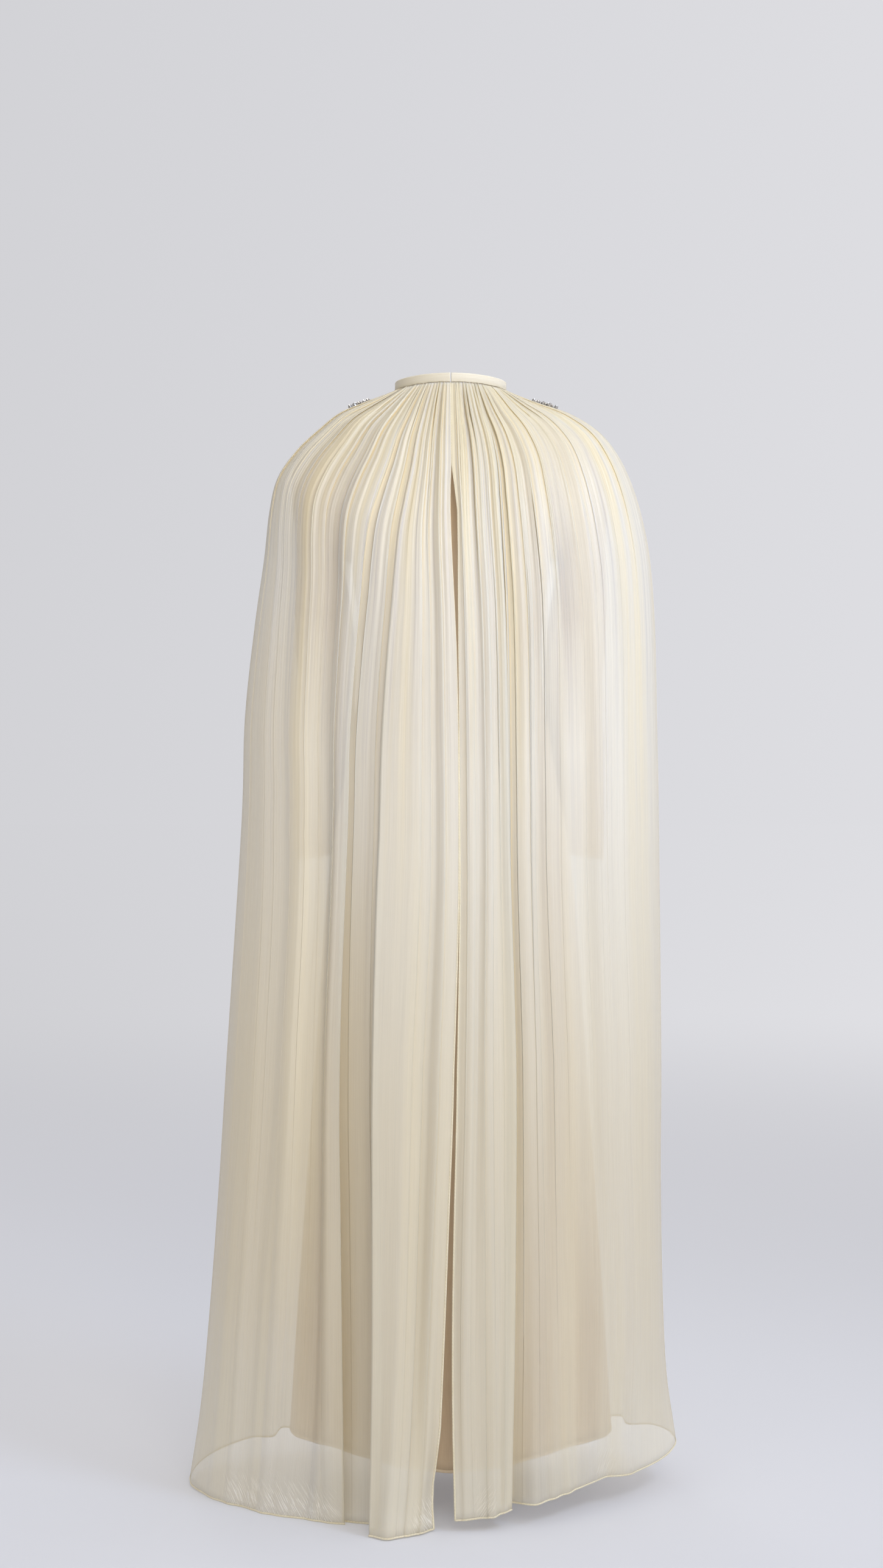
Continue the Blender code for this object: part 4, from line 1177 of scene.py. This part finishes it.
def add_ornament(name, side):
    """A net backing on the crests of the front panel's gathers, with offset rows of round
    stones in settings and seed beads between them and round the edge. The stones by the
    shoulder seam stand higher, on taller settings that still reach down to the net."""
    rows, columns = ORNAMENT_GRID
    ring = np.linspace(*ORNAMENT_RINGS, rows)
    column = np.linspace(*ORNAMENT_GATHERS, columns)
    panel = CAPE_PANELS[name.replace("shoulder_ornament", "cape_front")]
    crests, _ = panel_points(panel, ring, column, crests=True)
    outward = grid_normals(crests) * (1 if side < 0 else -1)
    top = crests + outward * NET_HEIGHT
    uv = cloth_map(run_along(crests[rows // 2]), run_along(crests[:, columns // 2]))
    backing, _ = add_cloth(name + "_backing", top, NET_THICKNESS, uv, NET_FINISH, side > 0)
    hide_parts(name)

    def places(spots):
        """Points and normals of the net at fractional rows and columns."""
        i, j = np.clip(spots.astype(int), 0, (rows - 2, columns - 2)).T
        f, g = (spots - np.stack([i, j], -1)).T[..., None]
        blend = lambda grid: (
            grid[i, j] * (1 - f) * (1 - g) + grid[i + 1, j] * f * (1 - g)
            + grid[i, j + 1] * (1 - f) * g + grid[i + 1, j + 1] * f * g
        )
        return blend(top), unit(blend(outward))

    def frames(away, turn):
        """Axes of each copy, its z away from the net and its x turned by an angle."""
        first = unit(np.cross(away, (0.0, 1.0, 0.2)))
        x = first * np.cos(turn)[:, None] + np.cross(away, first) * np.sin(turn)[:, None]
        return np.stack([x, np.cross(away, x), away], 1)

    draws = np.random.default_rng(50 + side)
    row_numbers = np.arange(LARGER_STONES[0][2])[:, None]
    larger = spots_on_rows(*LARGER_STONES, np.where(row_numbers % 2, ODD_ROWS, EVEN_ROWS))
    small = spots_on_rows(*SMALL_STONES)
    sizes = np.where(np.arange(len(larger)) % 3 == 0, LARGE_STONE, MIDDLE_STONE)
    sizes = np.append(sizes, np.full(len(small), SMALL_STONE))
    spots = np.concatenate([larger, small])
    spots = spots + draws.uniform(-0.5, 0.5, spots.shape)
    centres, away = places(spots)
    away = unit(away + draws.normal(0, 0.10, away.shape))
    turned = frames(away, draws.uniform(0, 2, len(spots)))
    by_seam = SEAM_LIFT + OUTER_LIFT * smooth_step((spots[:, 0] - 12) / 8)
    by_seam = by_seam * smooth_step((spots[:, 1] - 27) / 6)
    lifted = centres + away * (STONE_OUT * sizes + by_seam)[:, None]
    stones = add_repeated(name + "_stones", STONE, lifted, turned, sizes, STONE_FINISH)
    taller = 1 + by_seam / (SETTING_HEIGHT * sizes)
    cups = turned * np.stack([0 * taller + 1, 0 * taller + 1, taller], -1)[..., None]
    seats = lifted + away * (SETTING_RIM * sizes * (1 - taller))[:, None]
    settings = add_repeated(name + "_settings", SETTING, seats, cups, sizes, SETTING_FINISH)

    lines = [np.linspace(start, end, count) for start, end, count in BEAD_LINES]
    spots = np.concatenate([*lines, draws.uniform(*LOOSE_BEADS)])
    centres, away = places(spots)
    bead_sizes = draws.uniform(*BEAD_RADII, len(spots))
    turned = frames(away, draws.uniform(0, 3, len(spots)))
    centres = centres + away * bead_sizes[:, None] * 0.8
    beads = add_repeated(name + "_beads", capsule(), centres, turned, bead_sizes, BEAD_FINISH, True)


# Floor, light and camera


class Backdrop(Finish):
    """The even backdrop round the scene: a little lighter on the wearer's right."""

    def __init__(self, name):
        self.world = bpy.data.worlds.new(name)
        self.world.use_nodes = True
        self.tree = self.world.node_tree
        self.shader = self.tree.nodes["Background"]
        towards = self.node("ShaderNodeTexCoord", {}, []).part(0)
        self.feed(self.shader.inputs["Color"], self.shade(BACKDROP, 1.0 - BACKDROP_SLOPE * towards))


def floor_finish(name, near, painted_fill_glow):
    """A plain floor that passes into the backdrop's own light far from the garment. Near the garment it
    glows evenly, painted light that lifts the shadow under the cape.
    """
    finish = Finish(name, Roughness=0.9, Specular_IOR_Level=0.0, Emission_Strength=1.0)
    place = finish.object_place()
    distance = finish.node("ShaderNodeVectorMath", {"operation": "LENGTH"}, [place], 1)
    far = distance.between(2.0, 8.0)
    cloud = finish.noise(place, 0.9, 0.9, 2, 0.9)
    backdrop = finish.shade(BACKDROP, 1.0 - BACKDROP_SLOPE * (place.part(0) / distance))
    # Emission: the painted fill glow near the garment, passing into the backdrop's even light far away.
    finish.feed(finish.shader.inputs["Emission Color"], finish.mix(far, painted_fill_glow, backdrop))
    return finish.finished(finish.mix(far, finish.shade(near, 0.99 + 0.02 * cloud), rgb(0, 0, 0)))


def add_floor(radius=60, corners=96):
    """A pale round floor, large enough to meet the even backdrop far behind the garment."""
    turn = turns(corners)
    points = np.stack([radius * np.cos(turn), radius * np.sin(turn), np.full(corners, FLOOR)], -1)
    mesh = bpy.data.meshes.new("floor")
    mesh.from_pydata(points.tolist(), [], [list(range(corners))])
    # The second colour is the floor's painted glow near the garment, which lifts the shadow under the
    # cape.
    mesh.materials.append(floor_finish("studio floor", rgb(200, 200, 202), rgb(115, 115, 118)))
    new_object("floor", mesh)


# Soft round lamps. Columns: power, colour, place, what it is aimed at, width, spread.
LAMPS = {
    "key": (10.2, (0.58, 0.72, 1.0), (-1.7, 1.6, 1.1), (-0.05, 0.1, -0.2), 1.0, 100),
    "back": (5.0, (1.0, 0.95, 0.87), (-0.45, 3.0, 0.9), (-0.03, 0.15, -0.2), 1.2, 60),
    "front": (1.6, (1.0, 0.98, 0.96), (0.7, -3.0, 0.8), (0, 0, -0.5), 1.2, 60),
    "low": (0.2, (1.0, 0.97, 0.90), (1.3, 2.2, -0.2), (0.25, 0.1, -1.42), 0.8, 50),
    "top": (2.4, (0.8, 0.9, 1.0), (0.2, 1.0, 1.9), (0, 0, -0.2), 1.2, 180),
}


def add_lamp(name, power, colour, place, target, width, spread):
    data = bpy.data.lights.new(name, "AREA")
    data.energy, data.color = power, colour
    data.shape, data.size, data.spread = "DISK", width, math.radians(spread)
    lamp = new_object(name, data)
    lamp.location = place
    aim = mathutils.Vector(target) - mathutils.Vector(place)
    lamp.rotation_euler = aim.to_track_quat("-Z", "Y").to_euler()
    lamp.visible_camera = False


def add_camera(height_px=2576, focal_px=4500, sensor=36):
    """The photo's view: a level camera behind the wearer, its focal length known in pixels."""
    data = bpy.data.cameras.new("camera")
    data.sensor_fit, data.sensor_height = "VERTICAL", sensor
    data.lens = sensor * focal_px / height_px
    camera = new_object("camera", data)
    camera.location = (0.012, 3.6, -0.515)
    camera.rotation_euler = (math.radians(90), 0, math.radians(180))
    bpy.context.scene.camera = camera


for name, panel in CAPE_PANELS.items():
    add_cape_panel(name, panel)
add_neckband()
add_neckband_stitches()
add_dress_panel("back", False)
add_dress_panel("front", True)
for place, side in (("left", 1), ("right", -1)):
    add_sleeve(place, side)
for place, side in (("left", 1), ("right", -1)):
    add_ornament("shoulder_ornament_" + place, side)
add_floor()
bpy.context.scene.world = Backdrop("studio").world
for name, lamp in LAMPS.items():
    add_lamp(name, *lamp)
add_camera()
bpy.context.scene.view_settings.view_transform = "Standard"
